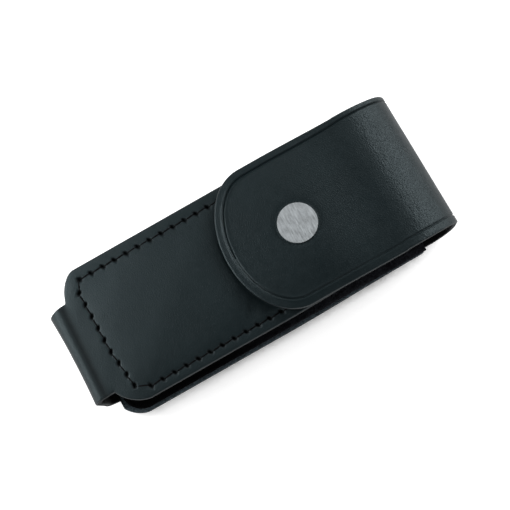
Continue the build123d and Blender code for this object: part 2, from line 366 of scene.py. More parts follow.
def two_skins(name, columns, rows):
    """A flat grid with an upper and a lower skin, and the column, row and skin of each vertex."""
    select_only()
    bpy.ops.mesh.primitive_grid_add(x_subdivisions=columns, y_subdivisions=rows, size=2)
    sheet = bpy.context.object
    sheet.name = sheet.data.name = name
    bpy.ops.object.mode_set(mode="EDIT")
    bpy.ops.mesh.select_all(action="SELECT")
    bpy.ops.mesh.extrude_region_move(TRANSFORM_OT_translate={"value": (0, 0, -1)})
    bpy.ops.object.mode_set(mode="OBJECT")
    flat = vertex_places(sheet)
    column = np.rint((flat[:, 0] + 1) / 2 * columns).astype(int)
    row = np.rint((flat[:, 1] + 1) / 2 * rows).astype(int)
    return sheet, column, row, flat[:, 2] < -0.5


def make_sheet(name, upper, lower, skins, notes, weld=0.002, folded_end=False):
    """A closed sheet from the places of its upper and lower skin.

    skins are the finishes of its upper face, cut edge and lower face. folded_end is for a last column whose
    two halves meet: its wall is left out, so that they join.
    """
    upper = np.stack(upper, -1)
    lower = np.stack(lower, -1)
    counts = upper.shape[:2]
    sheet, column, row, is_lower = two_skins(name, counts[0] - 1, counts[1] - 1)
    put_vertices(sheet, np.where(is_lower[:, None], lower[column, row], upper[column, row]))
    for label, values in notes.items():
        note(sheet, label, np.broadcast_to(values, counts)[column, row])
    for skin in skins:
        sheet.data.materials.append(skin)
    corners = np.empty(len(sheet.data.polygons) * 4, int)
    sheet.data.polygons.foreach_get("vertices", corners)
    below = is_lower[corners].reshape(-1, 4).sum(1)
    slot = np.where(below == 0, 0, np.where(below == 4, 2, 1))
    sheet.data.polygons.foreach_set("material_index", slot.astype(np.int32))
    select_only(sheet)
    bpy.ops.object.mode_set(mode="EDIT")
    if folded_end:
        at_end = (column[corners].reshape(-1, 4) == column.max()).all(1)
        mesh = bmesh.from_edit_mesh(sheet.data)
        bpy.ops.mesh.select_all(action="DESELECT")
        mesh.faces.ensure_lookup_table()
        for index in np.flatnonzero(at_end):
            mesh.faces[index].select_set(True)
        bmesh.update_edit_mesh(sheet.data)
        bpy.ops.mesh.delete(type="ONLY_FACE")
    bpy.ops.mesh.select_all(action="SELECT")
    bpy.ops.mesh.remove_doubles(threshold=weld * MM)
    bpy.ops.object.mode_set(mode="OBJECT")
    face_outwards(sheet, 55)
    return sheet


# ---------------------------------------------------------------- seams

STITCH_GAP = 0.6  # between one stitch of the CAD seam and the next
HOLE_DEPTH = 1.1
HOLE_SLANT = math.radians(135)  # of an awl hole, from the way the seam was sewn
HOLE_WALL = 2.6  # steepness of a hole's wall,
MASK_WALL = 3  # and of the rim of its painted-shade mask
MASK_SCALE = 0.55  # below 1 the mask is wider than the hole
CHANNEL_HALF = 0.6  # half the width of the channel that the stitches lie in
NO_CORNER = -math.inf  # for a seam that doesn't turn at the nose


def stitch_bars(node):
    """Middle, way along and length of each separate stitch of a CAD seam."""
    loose = bmesh.new()
    loose.from_mesh(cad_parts[node].data)
    bmesh.ops.remove_doubles(loose, verts=loose.verts, dist=1e-6)
    bars = []
    waiting = set(loose.verts)
    while waiting:
        island = []
        front = [waiting.pop()]
        while front:
            vertex = front.pop()
            island.append(vertex.co[:])
            for edge in vertex.link_edges:
                other = edge.other_vert(vertex)
                if other in waiting:
                    waiting.remove(other)
                    front.append(other)
        corners = np.array(island) / MM
        middle = (corners.min(0) + corners.max(0)) / 2
        flat = corners[:, :2] - corners[:, :2].mean(0)
        way = np.linalg.eigh(flat.T @ flat)[1][:, 1]
        bars.append((middle, way, np.ptp(flat @ way)))
    loose.free()
    return bars


def bars_of(seams):
    return [bar for seam in seams for bar in stitch_bars(seam)]


def bar_ends(bar):
    """The two holes that a stitch runs between."""
    middle, way, length = bar
    half = way * (length + STITCH_GAP) / 2
    return [middle[:2] + end * half for end in SIDES]


def awl_holes(bars):
    """The holes of a seam, each once."""
    holes = []
    for bar in bars:
        for hole in bar_ends(bar):
            if all(math.dist(hole, other) > STITCH_GAP for other in holes):
                holes.append(hole)
    return holes


def sewn_angle(place, way, corner_x):
    """Angle of a stitch along the sewing, which goes in on the left, across the nose and out on the right."""
    if place[0] < corner_x:
        heading = (0.0, -1.0)
    else:
        heading = (-1.0, 0.0) if place[1] > 0 else (1.0, 0.0)
    if np.dot(way, heading) < 0:
        way = -way
    return math.atan2(way[1], way[0])


def sewn_relief(x, y, bars, corner_x):
    """Depth of the stitch channel, depth of the holes from 0 to 1, and a wider mask of the holes for the
    shade painted into them.
    """
    size = sizes()
    nearest = np.full(x.shape, np.inf)
    gap = np.full(x.shape, np.inf)
    long, wide = size.hole_length / MM / 2, size.hole_width / MM / 2
    for bar in bars:
        gap = np.minimum(gap, gap_to_line(x, y, bar_ends(bar)))
        for hole in bar_ends(bar):
            angle = sewn_angle(hole, bar[1], corner_x) + HOLE_SLANT
            dx, dy = x - hole[0], y - hole[1]
            along = dx * math.cos(angle) + dy * math.sin(angle)
            across = dy * math.cos(angle) - dx * math.sin(angle)
            nearest = np.minimum(nearest, (along / long) ** 2 + (across / wide) ** 2)
    channel = size.channel_depth / MM * np.exp(-((gap / CHANNEL_HALF) ** 2))
    return channel, np.exp(-(nearest**HOLE_WALL)), np.exp(-((MASK_SCALE * nearest) ** MASK_WALL))


# ---------------------------------------------------------------- finishes

RUBBED_GRAIN = (0.030, 0.038, 0.042)  # grain worn paler along its edges
PAINTED_SHADE_COLOUR = (0.0008, 0.0009, 0.0012)  # painted shade inside the awl holes and along the strap's pressed line
EDGE_DARK, EDGE_PALE = (0.0035, 0.005, 0.0065), (0.012, 0.018, 0.022)  # layers of the cut edge
SILVER_DARK, SPRING_DARK = (0.13, 0.14, 0.15), (0.2, 0.2, 0.2)  # tarnished plating and wire
GRAIN_SHEEN, EDGE_SHEEN = (0.78, 0.95, 1.0, 1.0), (0.75, 0.92, 1.0, 1.0)  # tint of the leather's shine
SUEDE_SHADES = (0.6, 1.5)  # darkest and palest of the suede, as shares of its colour


class Nodes:
    """A node tree, with short ways to add to it."""

    def __init__(self, tree):
        self.tree = tree

    def feed(self, node, inputs):
        """Links sockets to a node's inputs and sets its constants."""
        for name, value in inputs.items():
            if isinstance(value, bpy.types.NodeSocket):
                self.tree.links.new(value, node.inputs[name])
            else:
                node.inputs[name].default_value = value

    def add(self, kind, inputs, **settings):
        node = self.tree.nodes.new("ShaderNode" + kind)
        for name, value in settings.items():
            setattr(node, name, value)
        self.feed(node, inputs)
        return node.outputs

    def math(self, operation, first, second=0.0, third=0.0):
        return self.add("Math", {0: first, 1: second, 2: third}, operation=operation)[0]

    def remap(self, value, low, high, to_low, to_high):
        limits = {"From Min": low, "From Max": high, "To Min": to_low, "To Max": to_high}
        return self.add("MapRange", {"Value": value, **limits}, clamp=True)[0]

    def mix(self, share, first, second):
        """Blend of two colours; the Mix node takes them at its inputs 6 and 7 and gives output 2."""
        inputs = {0: share}
        for slot, value in ((6, first), (7, second)):
            inputs[slot] = value if isinstance(value, bpy.types.NodeSocket) else (*value, 1.0)
        return self.add("Mix", inputs, data_type="RGBA")[2]

    def shades(self, share, colour, low, high):
        """A colour between low and high times its brightness."""
        return self.mix(share, tuple(c * low for c in colour), tuple(c * high for c in colour))

    def place(self):
        return self.add("TexCoord", {})["Object"]

    def attribute(self, name):
        return self.add("Attribute", {}, attribute_name=name)["Fac"]

    def stretch(self, place, scale, rotation=(0.0, 0.0, 0.0)):
        return self.add("Mapping", {"Vector": place, "Rotation": rotation, "Scale": scale})[0]

    def noise(self, place, scale, detail=2.0, roughness=0.5, distortion=0.0):
        shape = {"Scale": scale, "Detail": detail, "Roughness": roughness, "Distortion": distortion}
        return self.add("TexNoise", {"Vector": place, **shape})[0]

    def bump(self, height, distance):
        return self.add("Bump", {"Height": height, "Distance": distance * MM, "Strength": 1.0})["Normal"]

    def group(self, name, build, inputs):
        """A shared node group, built when it is first needed."""
        return self.add("Group", inputs, node_tree=bpy.data.node_groups.get(name) or build(name))


def new_group(name, inputs, outputs):
    """An empty node group of number sockets: its nodes, its inputs and its output node."""
    tree = bpy.data.node_groups.new(name, "ShaderNodeTree")
    for label, default in inputs.items():
        socket = tree.interface.new_socket(name=label, in_out="INPUT", socket_type="NodeSocketFloat")
        socket.default_value = default
    for label in outputs:
        tree.interface.new_socket(name=label, in_out="OUTPUT", socket_type="NodeSocketFloat")
    return Nodes(tree), tree.nodes.new("NodeGroupInput").outputs, tree.nodes.new("NodeGroupOutput")


def group_leather_grain(name):
    """Pores, pebbles and fine pull lines of finished hide, and slow changes of tone."""
    nodes, given, result = new_group(name, {"Pebble": 1.0, "Pull": 0.0}, ("Height", "Tone", "Sheen"))
    place = nodes.place()
    warp = nodes.add("TexNoise", {"Vector": place, "Scale": 700.0, "Detail": 2.0})["Color"]
    shift = (0.0006, 0.0006, 0.0006)
    warped = nodes.add("VectorMath", {0: warp, 1: shift, 2: place}, operation="MULTIPLY_ADD")[0]
    cells = nodes.add("TexVoronoi", {"Vector": warped, "Scale": 1500.0}, feature="DISTANCE_TO_EDGE")
    pebble = nodes.remap(cells["Distance"], 0.0, 0.22, 0.0, 1.0)
    pores = nodes.noise(place, 3600.0, detail=3.0, roughness=0.6)
    pull = nodes.noise(nodes.stretch(place, (1.0, 0.35, 1.0)), 1100.0, detail=3.0)
    low = nodes.math("MULTIPLY", pebble, nodes.math("MULTIPLY", given["Pebble"], 0.45))
    mid = nodes.math("MULTIPLY_ADD", pores, 0.35, low)
    strained = nodes.math("MULTIPLY_ADD", nodes.noise(place, 2100.0), 1.3, pull)
    high = nodes.math("MULTIPLY_ADD", nodes.math("MULTIPLY", strained, given["Pull"]), 1.7, mid)
    tone = nodes.noise(place, 55.0, detail=4.0, roughness=0.6)
    sheen = nodes.noise(place, 420.0, detail=4.0, roughness=0.7)
    nodes.feed(result, {
        "Height": nodes.math("MULTIPLY_ADD", nodes.noise(place, 150.0), 0.8, high),
        "Tone": nodes.remap(tone, 0.3, 0.7, 0.0, 1.0),
        "Sheen": nodes.remap(sheen, 0.3, 0.7, 0.0, 1.0),
    })
    return nodes.tree


def group_edge_wear(name):
    """How worn the leather is near its cut edge, read from the piece's own edge distance in millimetres."""
    nodes, given, result = new_group(name, {"Reach": 0.8, "Break up": 0.5}, ("Wear",))
    share = nodes.math("DIVIDE", nodes.attribute("edge"), given["Reach"])
    near = nodes.math("SUBTRACT", 1.0, nodes.math("MINIMUM", share, 1.0))
    broken = nodes.math("MULTIPLY", nodes.noise(nodes.place(), 260.0, detail=4.0), given["Break up"])
    nodes.feed(result, {"Wear": nodes.math("MULTIPLY", near, nodes.math("SUBTRACT", 1.0, broken))})
    return nodes.tree


def group_suede_nap(name):
    """Short ruffled fibres of split leather."""
    nodes, given, result = new_group(name, {"Fibre": 1.0}, ("Height", "Tone"))
    place = nodes.place()
    tufts = nodes.noise(place, 620.0, detail=4.0, distortion=1.5)
    fibres = nodes.noise(place, 2600.0, detail=5.0, roughness=0.75)
    raised = nodes.math("MULTIPLY", fibres, given["Fibre"])
    nodes.feed(result, {
        "Height": nodes.math("MULTIPLY_ADD", tufts, 1.4, raised),
        "Tone": nodes.remap(tufts, 0.35, 0.68, 0.0, 1.0),
    })
    return nodes.tree


def group_patina(name):
    """Tarnish, tumbling marks and fine scratches of antique plating."""
    sockets = {"Tarnish": 0.5, "Scratches": 0.5}
    nodes, given, result = new_group(name, sockets, ("Tarnish", "Height", "Roughness"))
    place = nodes.place()
    clouds = nodes.noise(place, 330.0, detail=5.0, roughness=0.65)
    dark = nodes.remap(clouds, 0.42, 0.72, 0.0, 1.0)
    lines = nodes.noise(nodes.stretch(place, (1.0, 0.12, 1.0), (0.0, 0.0, 0.6)), 3800.0)
    dents = nodes.add("TexVoronoi", {"Vector": place, "Scale": 900.0}, feature="SMOOTH_F1")["Distance"]
    marks = nodes.math("MULTIPLY", lines, given["Scratches"])
    nodes.feed(result, {
        "Tarnish": nodes.math("MULTIPLY", dark, given["Tarnish"]),
        "Height": nodes.math("MULTIPLY_ADD", dents, 0.6, marks),
        "Roughness": nodes.remap(lines, 0.3, 0.7, 0.36, 0.5),
    })
    return nodes.tree


def group_thread_lay(name):
    """Twisted plies of a waxed thread, along the piece's own stitch map."""
    nodes, given, result = new_group(name, {"Plies": 5.0}, ("Height", "Groove"))
    layout = nodes.add("SeparateXYZ", {0: nodes.add("UVMap", {}, uv_map="stitch_map")[0]})
    turns = nodes.math("MULTIPLY_ADD", layout[0], given["Plies"], layout[1])
    wave = nodes.math("ABSOLUTE", nodes.math("SINE", nodes.math("MULTIPLY", turns, 2 * math.pi)))
    nodes.feed(result, {
        "Height": wave,
        "Groove": nodes.math("SUBTRACT", 1.0, nodes.math("POWER", wave, 0.5)),
    })
    return nodes.tree


def finish(name, paint, *settings):
    """The material of this name, painted when it is first needed."""
    made = bpy.data.materials.get(name)
    if not made:
        made = bpy.data.materials.new(name)
        made.use_nodes = True
        nodes = Nodes(made.node_tree)
        nodes.feed(made.node_tree.nodes["Principled BSDF"], paint(nodes, *settings))
    return made


def paint_grain(nodes):
    """Smooth black hide: faint grain, painted shade in the holes and along the strap's pressed line, worn
    edges, and pull lines where it is bent.
    """
    pit = nodes.attribute("pit")
    looks = {"Pebble": 0.5, "Pull": nodes.attribute("bend")}
    grain = nodes.group("leather_grain", group_leather_grain, looks)
    wear = nodes.group("edge_wear", group_edge_wear, {"Reach": 0.75, "Break up": 0.7})["Wear"]
    toned = nodes.shades(grain["Tone"], colours().leather, 0.86, 1.16)
    rubbed_and_lit = nodes.mix(nodes.math("MULTIPLY", wear, 0.3), toned, RUBBED_GRAIN)
    rough = nodes.math("MULTIPLY_ADD", wear, -0.05, nodes.remap(grain["Sheen"], 0.0, 1.0, 0.40, 0.48))
    return {
        # Painted shade: the mask paints the awl holes and the strap's pressed line dark.
        "Base Color": nodes.mix(pit, rubbed_and_lit, PAINTED_SHADE_COLOUR),
        "Roughness": nodes.math("MULTIPLY_ADD", pit, 0.4, rough),
        "Normal": nodes.bump(grain["Height"], 0.085),
        "Specular IOR Level": 0.45,
        "Specular Tint": GRAIN_SHEEN,
    }


def paint_cut_edge(nodes):
    """Burnished cut edge: smooth, dark and slightly glossy, with faint layers along it."""
    layers = nodes.noise(nodes.stretch(nodes.place(), (0.25, 0.25, 2.2)), 900.0, detail=4.0)
    share = nodes.remap(layers, 0.35, 0.7, 0.0, 1.0)
    return {
        "Base Color": nodes.mix(share, EDGE_DARK, EDGE_PALE),
        "Roughness": nodes.remap(layers, 0.3, 0.7, 0.6, 0.8),
        "Normal": nodes.bump(layers, 0.08),
        "Specular IOR Level": 0.2,
        "Specular Tint": EDGE_SHEEN,
    }


MARGIN_FROM, MARGIN_TO = 2.5, 5.0  # how far from the edge a paler margin begins to fade, and has gone
GUSSET_LIT_FROM, GUSSET_LIT_TO = -22.0, 22.0  # where the gussets' painted light begins, and where it is palest


def paint_suede(nodes, colour, gloss, margin=None, rubbed_and_lit=None):
    """Matt ruffled side of the leather; margin is its colour along the edge; rubbed_and_lit is painted light,
    paler towards the mouth where light reaches it.
    """
    nap = nodes.group("suede_nap", group_suede_nap, {"Fibre": 1.0})
    shown = nodes.shades(nap["Tone"], colour, *SUEDE_SHADES)
    if margin:
        near = nodes.remap(nodes.attribute("edge"), MARGIN_FROM, MARGIN_TO, 1.0, 0.0)
        shown = nodes.mix(near, shown, nodes.shades(nap["Tone"], margin, *SUEDE_SHADES))
    if rubbed_and_lit:
        along = nodes.add("SeparateXYZ", {0: nodes.place()})["X"]
        # Painted light: the gusset is painted paler towards the mouth, where light reaches it.
        lit_share = nodes.remap(along, GUSSET_LIT_FROM * MM, GUSSET_LIT_TO * MM, 0.0, 1.0)
        shown = nodes.mix(lit_share, shown, nodes.shades(nap["Tone"], rubbed_and_lit, *SUEDE_SHADES))
    return {
        "Base Color": shown,
        "Roughness": 0.9,
        "Normal": nodes.bump(nap["Height"], 0.25),
        "Specular IOR Level": gloss,
    }


def paint_thread(nodes):
    """Waxed black thread with its plies."""
    lay = nodes.group("thread_lay", group_thread_lay, {"Plies": 5.0})
    return {
        # Painted shade: the grooves between the plies are painted darker.
        "Base Color": nodes.shades(lay["Groove"], colours().thread, 1.0, 0.35),
        "Roughness": nodes.remap(lay["Height"], 0.0, 1.0, 0.85, 0.66),
        "Normal": nodes.bump(lay["Height"], 0.08),
        "Specular IOR Level": 0.12,
    }


def paint_silver(nodes, tarnish):
    """Antique silver plating."""
    patina = nodes.group("patina", group_patina, {"Tarnish": tarnish, "Scratches": 0.5})
    dark = nodes.math("MAXIMUM", patina["Tarnish"], nodes.attribute("recess"))
    return {
        "Base Color": nodes.mix(dark, tuple(colours().silver), SILVER_DARK),
        "Metallic": 1.0,
        "Roughness": nodes.math("MULTIPLY_ADD", patina["Tarnish"], 0.25, patina["Roughness"]),
        "Normal": nodes.bump(patina["Height"], 0.03),
    }


def paint_spring(nodes):
    """Bright spring wire."""
    patina = nodes.group("patina", group_patina, {"Tarnish": 0.2, "Scratches": 0.8})
    return {
        "Base Color": nodes.mix(patina["Tarnish"], tuple(colours().spring), SPRING_DARK),
        "Metallic": 1.0,
        "Roughness": patina["Roughness"],
    }


def leather_skins():
    """Finishes of a leather sheet: upper face, cut edge, lower face."""
    return (
        finish("black_leather_grain", paint_grain),
        finish("burnished_edge", paint_cut_edge),
        finish("flesh_side", paint_suede, colours().flesh, 0.2),
    )


# ---------------------------------------------------------------- panels

# start: from the panel's end to where its shoulder begins; reach, fall: length and depth of the whole curve;
# neck: half the width where the curve runs out; neck_taper: how much narrower the neck is at the nose.
Shoulder = namedtuple("Shoulder", "start reach fall power neck neck_taper")
FRONT_SHOULDERS = {1: Shoulder(6.1, 7.1, 10.5, 1.75, 14.7, 2.2), -1: Shoulder(8.9, 9.0, 7.5, 1.6, 15.9, -0.8)}
BACK_SHOULDERS = {1: Shoulder(6.9, 7.9, 9.0, 1.75, 14.4, 0.9), -1: Shoulder(6.9, 7.9, 7.5, 1.75, 15.1, 2.5)}
NECK_START, NECK_END = 1.0, 10.0  # where the neck tapers, past the panel's end
NECK_LENGTH = 14.0  # of neck in an outline,
SHOULDER_LENGTH = 9.0  # and of shoulder
NECK_SOFTNESS = 0.3  # how gently a shoulder runs into the neck
FLANGE_SLOPE = 0.04  # fall of the front from its seam to the neck
FLANGE_EASE = 1.0  # how soon the front reaches that slope
ROOT_HALF = 21.2  # half the width of the flap at the back panel
FRONT_TAPER, BACK_TAPER = 1.0, 0.85  # how much the right edges run in towards the mouth


class Outline(namedtuple("Outline", "low high shoulders taper root")):
    """Cut edge of a panel and its neck; the two sides differ a little."""

    def half(self, x, side):
        """Half the width at x on one side: neck, round shoulder, straight run, small corner at the mouth."""
        shape = self.shoulders[side]
        share = np.clip((self.low[0] + shape.start - x) / shape.reach, 0, 1)
        curve = self.high[1] - shape.fall * (1 - (1 - share**shape.power) ** (1 / shape.power))
        neck = shape.neck - shape.neck_taper * ramp(self.low[0] - x, NECK_START, NECK_END)
        joined = (curve + neck) / 2 + np.hypot((curve - neck) / 2, NECK_SOFTNESS)
        drawn_in = self.taper * ramp(x, 0, self.high[0]) if side < 0 else 0
        mouth = np.clip(x - self.high[0] + MOUTH_RADIUS, 0, MOUTH_RADIUS)
        return joined - drawn_in - MOUTH_RADIUS + np.sqrt(MOUTH_RADIUS**2 - mouth**2)

    def halves(self, x, t):
        """Half the width of each column on both sides, and how far across the places from -1 to 1 lie."""
        plus, minus = (self.half(x, side)[:, None] for side in SIDES)
        return np.where(t > 0, plus * t, minus * t)

    def edge(self, side):
        """The cut edge of one side, from the neck to the mouth; root is where the flap carries on from it."""
        low, high = self.low[0], self.high[0]
        neck = low - np.linspace(1, 0, 61) ** 2 * NECK_LENGTH
        shoulder = low + np.linspace(0, 1, 41)[1:] * SHOULDER_LENGTH
        mouth = high - MOUTH_RADIUS * (1 - np.sin(np.radians(np.linspace(0, 90, 7))))
        x = np.concatenate([neck, shoulder, np.linspace(shoulder[-1] + 2, mouth[0] - 1, 12), mouth])
        line = list(zip(x, self.half(x, side)))
        return line + ([(high, self.root), (high + 20, self.root)] if self.root else [(high, 0)])

    def edge_gap(self, x, y):
        """Distance to the cut edge on the side that each point lies on."""
        return np.where(y > 0, gap_to_line(x, y, self.edge(1)), gap_to_line(x, -y, self.edge(-1)))


FRONT_OUTLINE = Outline(FRONT_LOW, FRONT_HIGH, FRONT_SHOULDERS, FRONT_TAPER, None)
BACK_OUTLINE = Outline(BACK_LOW, BACK_HIGH, BACK_SHOULDERS, BACK_TAPER, ROOT_HALF)

FLAP_HALF = TONGUE_HIGH[1]
TIP_HALF = {1: FLAP_HALF + 0.3, -1: FLAP_HALF - 0.45}  # half the flap's width by side round the stud
TONGUE_ROUND = 16.3  # length of the flap's round end
ROUND_X = TONGUE_LOW[0] + TONGUE_ROUND

DENT = (-7.5, -15.0)  # middle of the small dent in the front beside the flap's tip
DENT_WAY = (-0.55, -0.835)  # direction its crease runs in
DENT_DEPTH = 0.26
DENT_LENGTH = 2.4  # half the length of its crease
DENT_WALL = (-0.2, 1.1)  # where its steep side begins and ends, across the crease
DENT_WIDTH, DENT_FADE = 1.5, 2.5  # where it begins to rise again, and how gently
RIM_DIP = 0.35  # how deep the flap's rim presses into the front,
RIM_REACH = 0.9  # how soon the front comes up again beside it,
RIM_UNDER = 3.0  # and under it


def flange_fall(inside):
    """Fall of the front past its bottom seam, at a distance inside it (below 0 past it)."""
    beyond = past(-inside)
    return FLANGE_SLOPE * (beyond - FLANGE_EASE * (1 - np.exp(-beyond / FLANGE_EASE)))


def tip_dent(x, y):
    """Dip of the front where the flap's tip has pressed a short slanted crease into it."""
    along = (x - DENT[0]) * DENT_WAY[0] + (y - DENT[1]) * DENT_WAY[1]
    across = (y - DENT[1]) * DENT_WAY[0] - (x - DENT[0]) * DENT_WAY[1]
    fade = np.exp(-((along / DENT_LENGTH) ** 2)) * np.exp(-((past(across - DENT_WIDTH) / DENT_FADE) ** 2))
    return DENT_DEPTH * ramp(across, *DENT_WALL) * fade


def rim_dip(x, y):
    """Dip of the front where the rim of the flap's round end presses on it, deeper and wider on the right."""
    half = np.where(y > 0, TIP_HALF[1], TIP_HALF[-1])
    outside = TONGUE_ROUND * (np.hypot(np.minimum(x - ROUND_X, 0) / TONGUE_ROUND, y / half) - 1)
    right = ramp(-y, 4, 14)
    beside = past(outside) / (RIM_REACH * (1 + 0.8 * right))
    under = past(-outside) / RIM_UNDER
    return RIM_DIP * (1 + 0.9 * right) * np.exp(-beside - under**2)


PANEL_STEPS = {False: (0.21, 0.95), True: (0.26, 1.1)}  # fine and coarse grid steps, by sewn_below
MOUTH_STEPS = (52, 61, 71, 80, 90)  # columns round the corner at the mouth, in degrees
SEAM_SWELL = ((0.82, 14.0), (0.18, 2.5))  # share and reach of the swell, in from the bottom seam
SIDE_SWELL = 7.0  # reach of the swell, in from the side seams
STUD_FLAT = 4.6  # radius of the flat round the stud
UNEVEN = 0.05  # height of the slow unevenness of a panel
BACK_SWELL = 0.35  # swell of the back, as a share of the front's


def swell_of(x, y, seam_x, seam_y, stud):
    """How far a panel bulges between its seams, from 0 to 1; seam_y is where the side seams are."""
    inside = x - seam_x
    swell = 1.0
    for share, reach in SEAM_SWELL:
        swell = swell - share * np.exp(-past(inside) / reach)
    for gap in (seam_y[1] - y, y - seam_y[0]):
        swell = swell * (1 - np.exp(-past(gap) / SIDE_SWELL))
    return swell * (inside > 0) * ramp(stud, STUD_FLAT, 14)


def make_panel(name, outline, seams, sewn_below):
    """A leather panel; its sewn face is the lower one where sewn_below is set."""
    low, high = outline.low, outline.high
    bars = bars_of(seams)
    holes = np.array(awl_holes(bars))
    seam_x = holes[:, 0].min()
    seam_y = (holes[:, 1].min(), holes[:, 1].max())
    fine, coarse = PANEL_STEPS[sewn_below]
    half = high[1]
    mouth = high[0] - MOUTH_RADIUS * (1 - np.sin(np.radians(MOUTH_STEPS)))
    x = stations(low[0], mouth[0] - fine, coarse, fine, [*holes[:, 0], low[0]])
    x = np.concatenate([x, mouth])
    marks = [*holes[holes[:, 0] < seam_x + 2, 1], *seam_y, half, -half]
    t = stations(-half, half, coarse, fine, marks, reach=0.7) / half
    X, T = np.meshgrid(x, t, indexing="ij")
    Y = outline.halves(x, T)
    edge = outline.edge_gap(X, Y)
    channel, pits, hole_shade_mask = sewn_relief(X, Y, bars, seam_x + 2.5)
    stud = np.hypot(X - SNAP_X, Y)
    swell = swell_of(X, Y, seam_x, seam_y, stud)
    if sewn_below:
        swell = swell * BACK_SWELL * ramp(high[0] - X, 0, 14)
        fall = 0.0
    else:
        off_seam = ramp(np.minimum(seam_y[1] - Y, Y - seam_y[0]), 0, 2.5)
        fall = flange_fall(X - seam_x) + tip_dent(X, Y) + rim_dip(X, Y) * off_seam
    swell = swell * sizes().pillow / MM
    uneven = UNEVEN * np.sin(X * 0.23 + 1.1) * np.cos(Y * 0.31 + 0.4)
    swell += uneven * ramp(edge, 0.5, 5) * ramp(stud, STUD_FLAT, 8) * ramp(X, low[0], low[0] + 4) - fall
    droop = edge_droop(edge)
    round_off = rounded_edge(edge)
    sewn = channel + HOLE_DEPTH * pits + droop + round_off
    grain, rim, flesh = leather_skins()
    if sewn_below:
        upper = high[2] - round_off + droop - swell
        lower = low[2] + sewn - swell
        margin = tuple(colours().margin)
        inner = finish("back_inner_side", paint_suede, colours().flesh, 0.2, margin)
        skins = (inner, rim, grain)
    else:
        upper = high[2] - sewn + swell
        lower = low[2] + round_off - droop + swell
        skins = (grain, rim, flesh)
    notes = {"edge": edge, "pit": hole_shade_mask, "bend": 0.0}
    sheet = make_sheet(name, (X, Y, upper), (X, Y, lower), skins, notes)
    return sheet


# ---------------------------------------------------------------- nose strap

NOSE_X = STRAP_LOW[0] + HALF_LEATHER + 0.7  # middle of the leather at the foot of the nose's wall,
NOSE_LEAN = 0.75  # and how much further in its top is
STRAP_BENDS = (2.3, 3.6)
VALLEY_SHADE = 0.85  # darkness of the shade painted along the line pressed across the strap,
VALLEY_AT, VALLEY_TURN = 2.75, 0.025  # where it is, and how much it turns from square
VALLEY_SIDES = (0.8, 1.4)  # its reach past the line, and before it
BULGE = 0.55  # how far the leather bulges past it


def make_strap():
    """Neck of the leather that runs round the nose: level, a pressed line painted dark as shade, a bulge and
    the end wall.
    """
    seam_x = min(hole[0] for hole in awl_holes(bars_of(["bottom_front_stitches"])))
    start = FRONT_LOW[0]
    front_z = FRONT_HIGH[2] - HALF_LEATHER - float(flange_fall(np.array(start - seam_x)))
    back_z = BACK_LOW[2] + HALF_LEATHER
    top_x = NOSE_X + NOSE_LEAN
    square_end = FLANGE_SLOPE * HALF_LEATHER
    course = Course(
        [
            (start + square_end, front_z + FLANGE_SLOPE * square_end),
            (top_x, front_z - FLANGE_SLOPE * (start - top_x)),
            (NOSE_X, back_z),
            (BACK_LOW[0], back_z),
        ],
        STRAP_BENDS,
    )
    total = course.length
    lengths = stations(0, total, coarse=1.1, fine=0.12, marks=(0.4, 3.5, 5.0, total - 0.4), reach=0.9)
    across = stations(-1, 1, coarse=0.07, fine=0.012, marks=(-1, 1), reach=0.045)
    L, T = np.meshgrid(lengths, across, indexing="ij")
    to_back = ramp(L, 5, total - 5)
    front_x, back_x = start - L, BACK_LOW[0] - (total - L)
    plus, minus = (
        FRONT_OUTLINE.half(front_x, side) * (1 - to_back) + BACK_OUTLINE.half(back_x, side) * to_back
        for side in SIDES
    )
    Y = np.where(T > 0, plus * T, minus * T)
    near_front = L < total / 2
    edge = np.where(near_front, FRONT_OUTLINE.edge_gap(front_x, Y), BACK_OUTLINE.edge_gap(back_x, Y))
    edge = np.where(np.minimum(L, total - L) > 4, np.minimum(plus - Y, minus + Y), edge)
    beyond = L - (VALLEY_AT - VALLEY_TURN * Y)
    # Painted shade along the pressed line, passed to the grain finish as its dark mask.
    valley_shade = VALLEY_SHADE * np.exp(-((beyond / np.where(beyond > 0, *VALLEY_SIDES)) ** 2))
    bulge = BULGE * ramp(beyond, -0.6, 1.0) * ramp(L, 10, 6)
    flare = ramp(L, 3.4, 9) * ramp(total - L, 1, 7) * (0.6 - 0.8 * T**2)
    droop = edge_droop(edge) * (ramp(4 - L, 0, 3) + ramp(L - total + 4, 0, 3))
    thick = HALF_LEATHER - rounded_edge(edge)
    depth = flare + droop - bulge
    outer_x, outer_z = course.at(L, depth - thick)
    inner_x, inner_z = course.at(L, thick + depth)
    notes = {"edge": edge, "pit": valley_shade, "bend": np.clip(course.bend_at(L) * 2, 0, 0.15)}
    sheet = make_sheet(
        "bottom_strap_leather", (outer_x, Y, outer_z), (inner_x, Y, inner_z), leather_skins(), notes
    )
    return sheet


# ---------------------------------------------------------------- flap

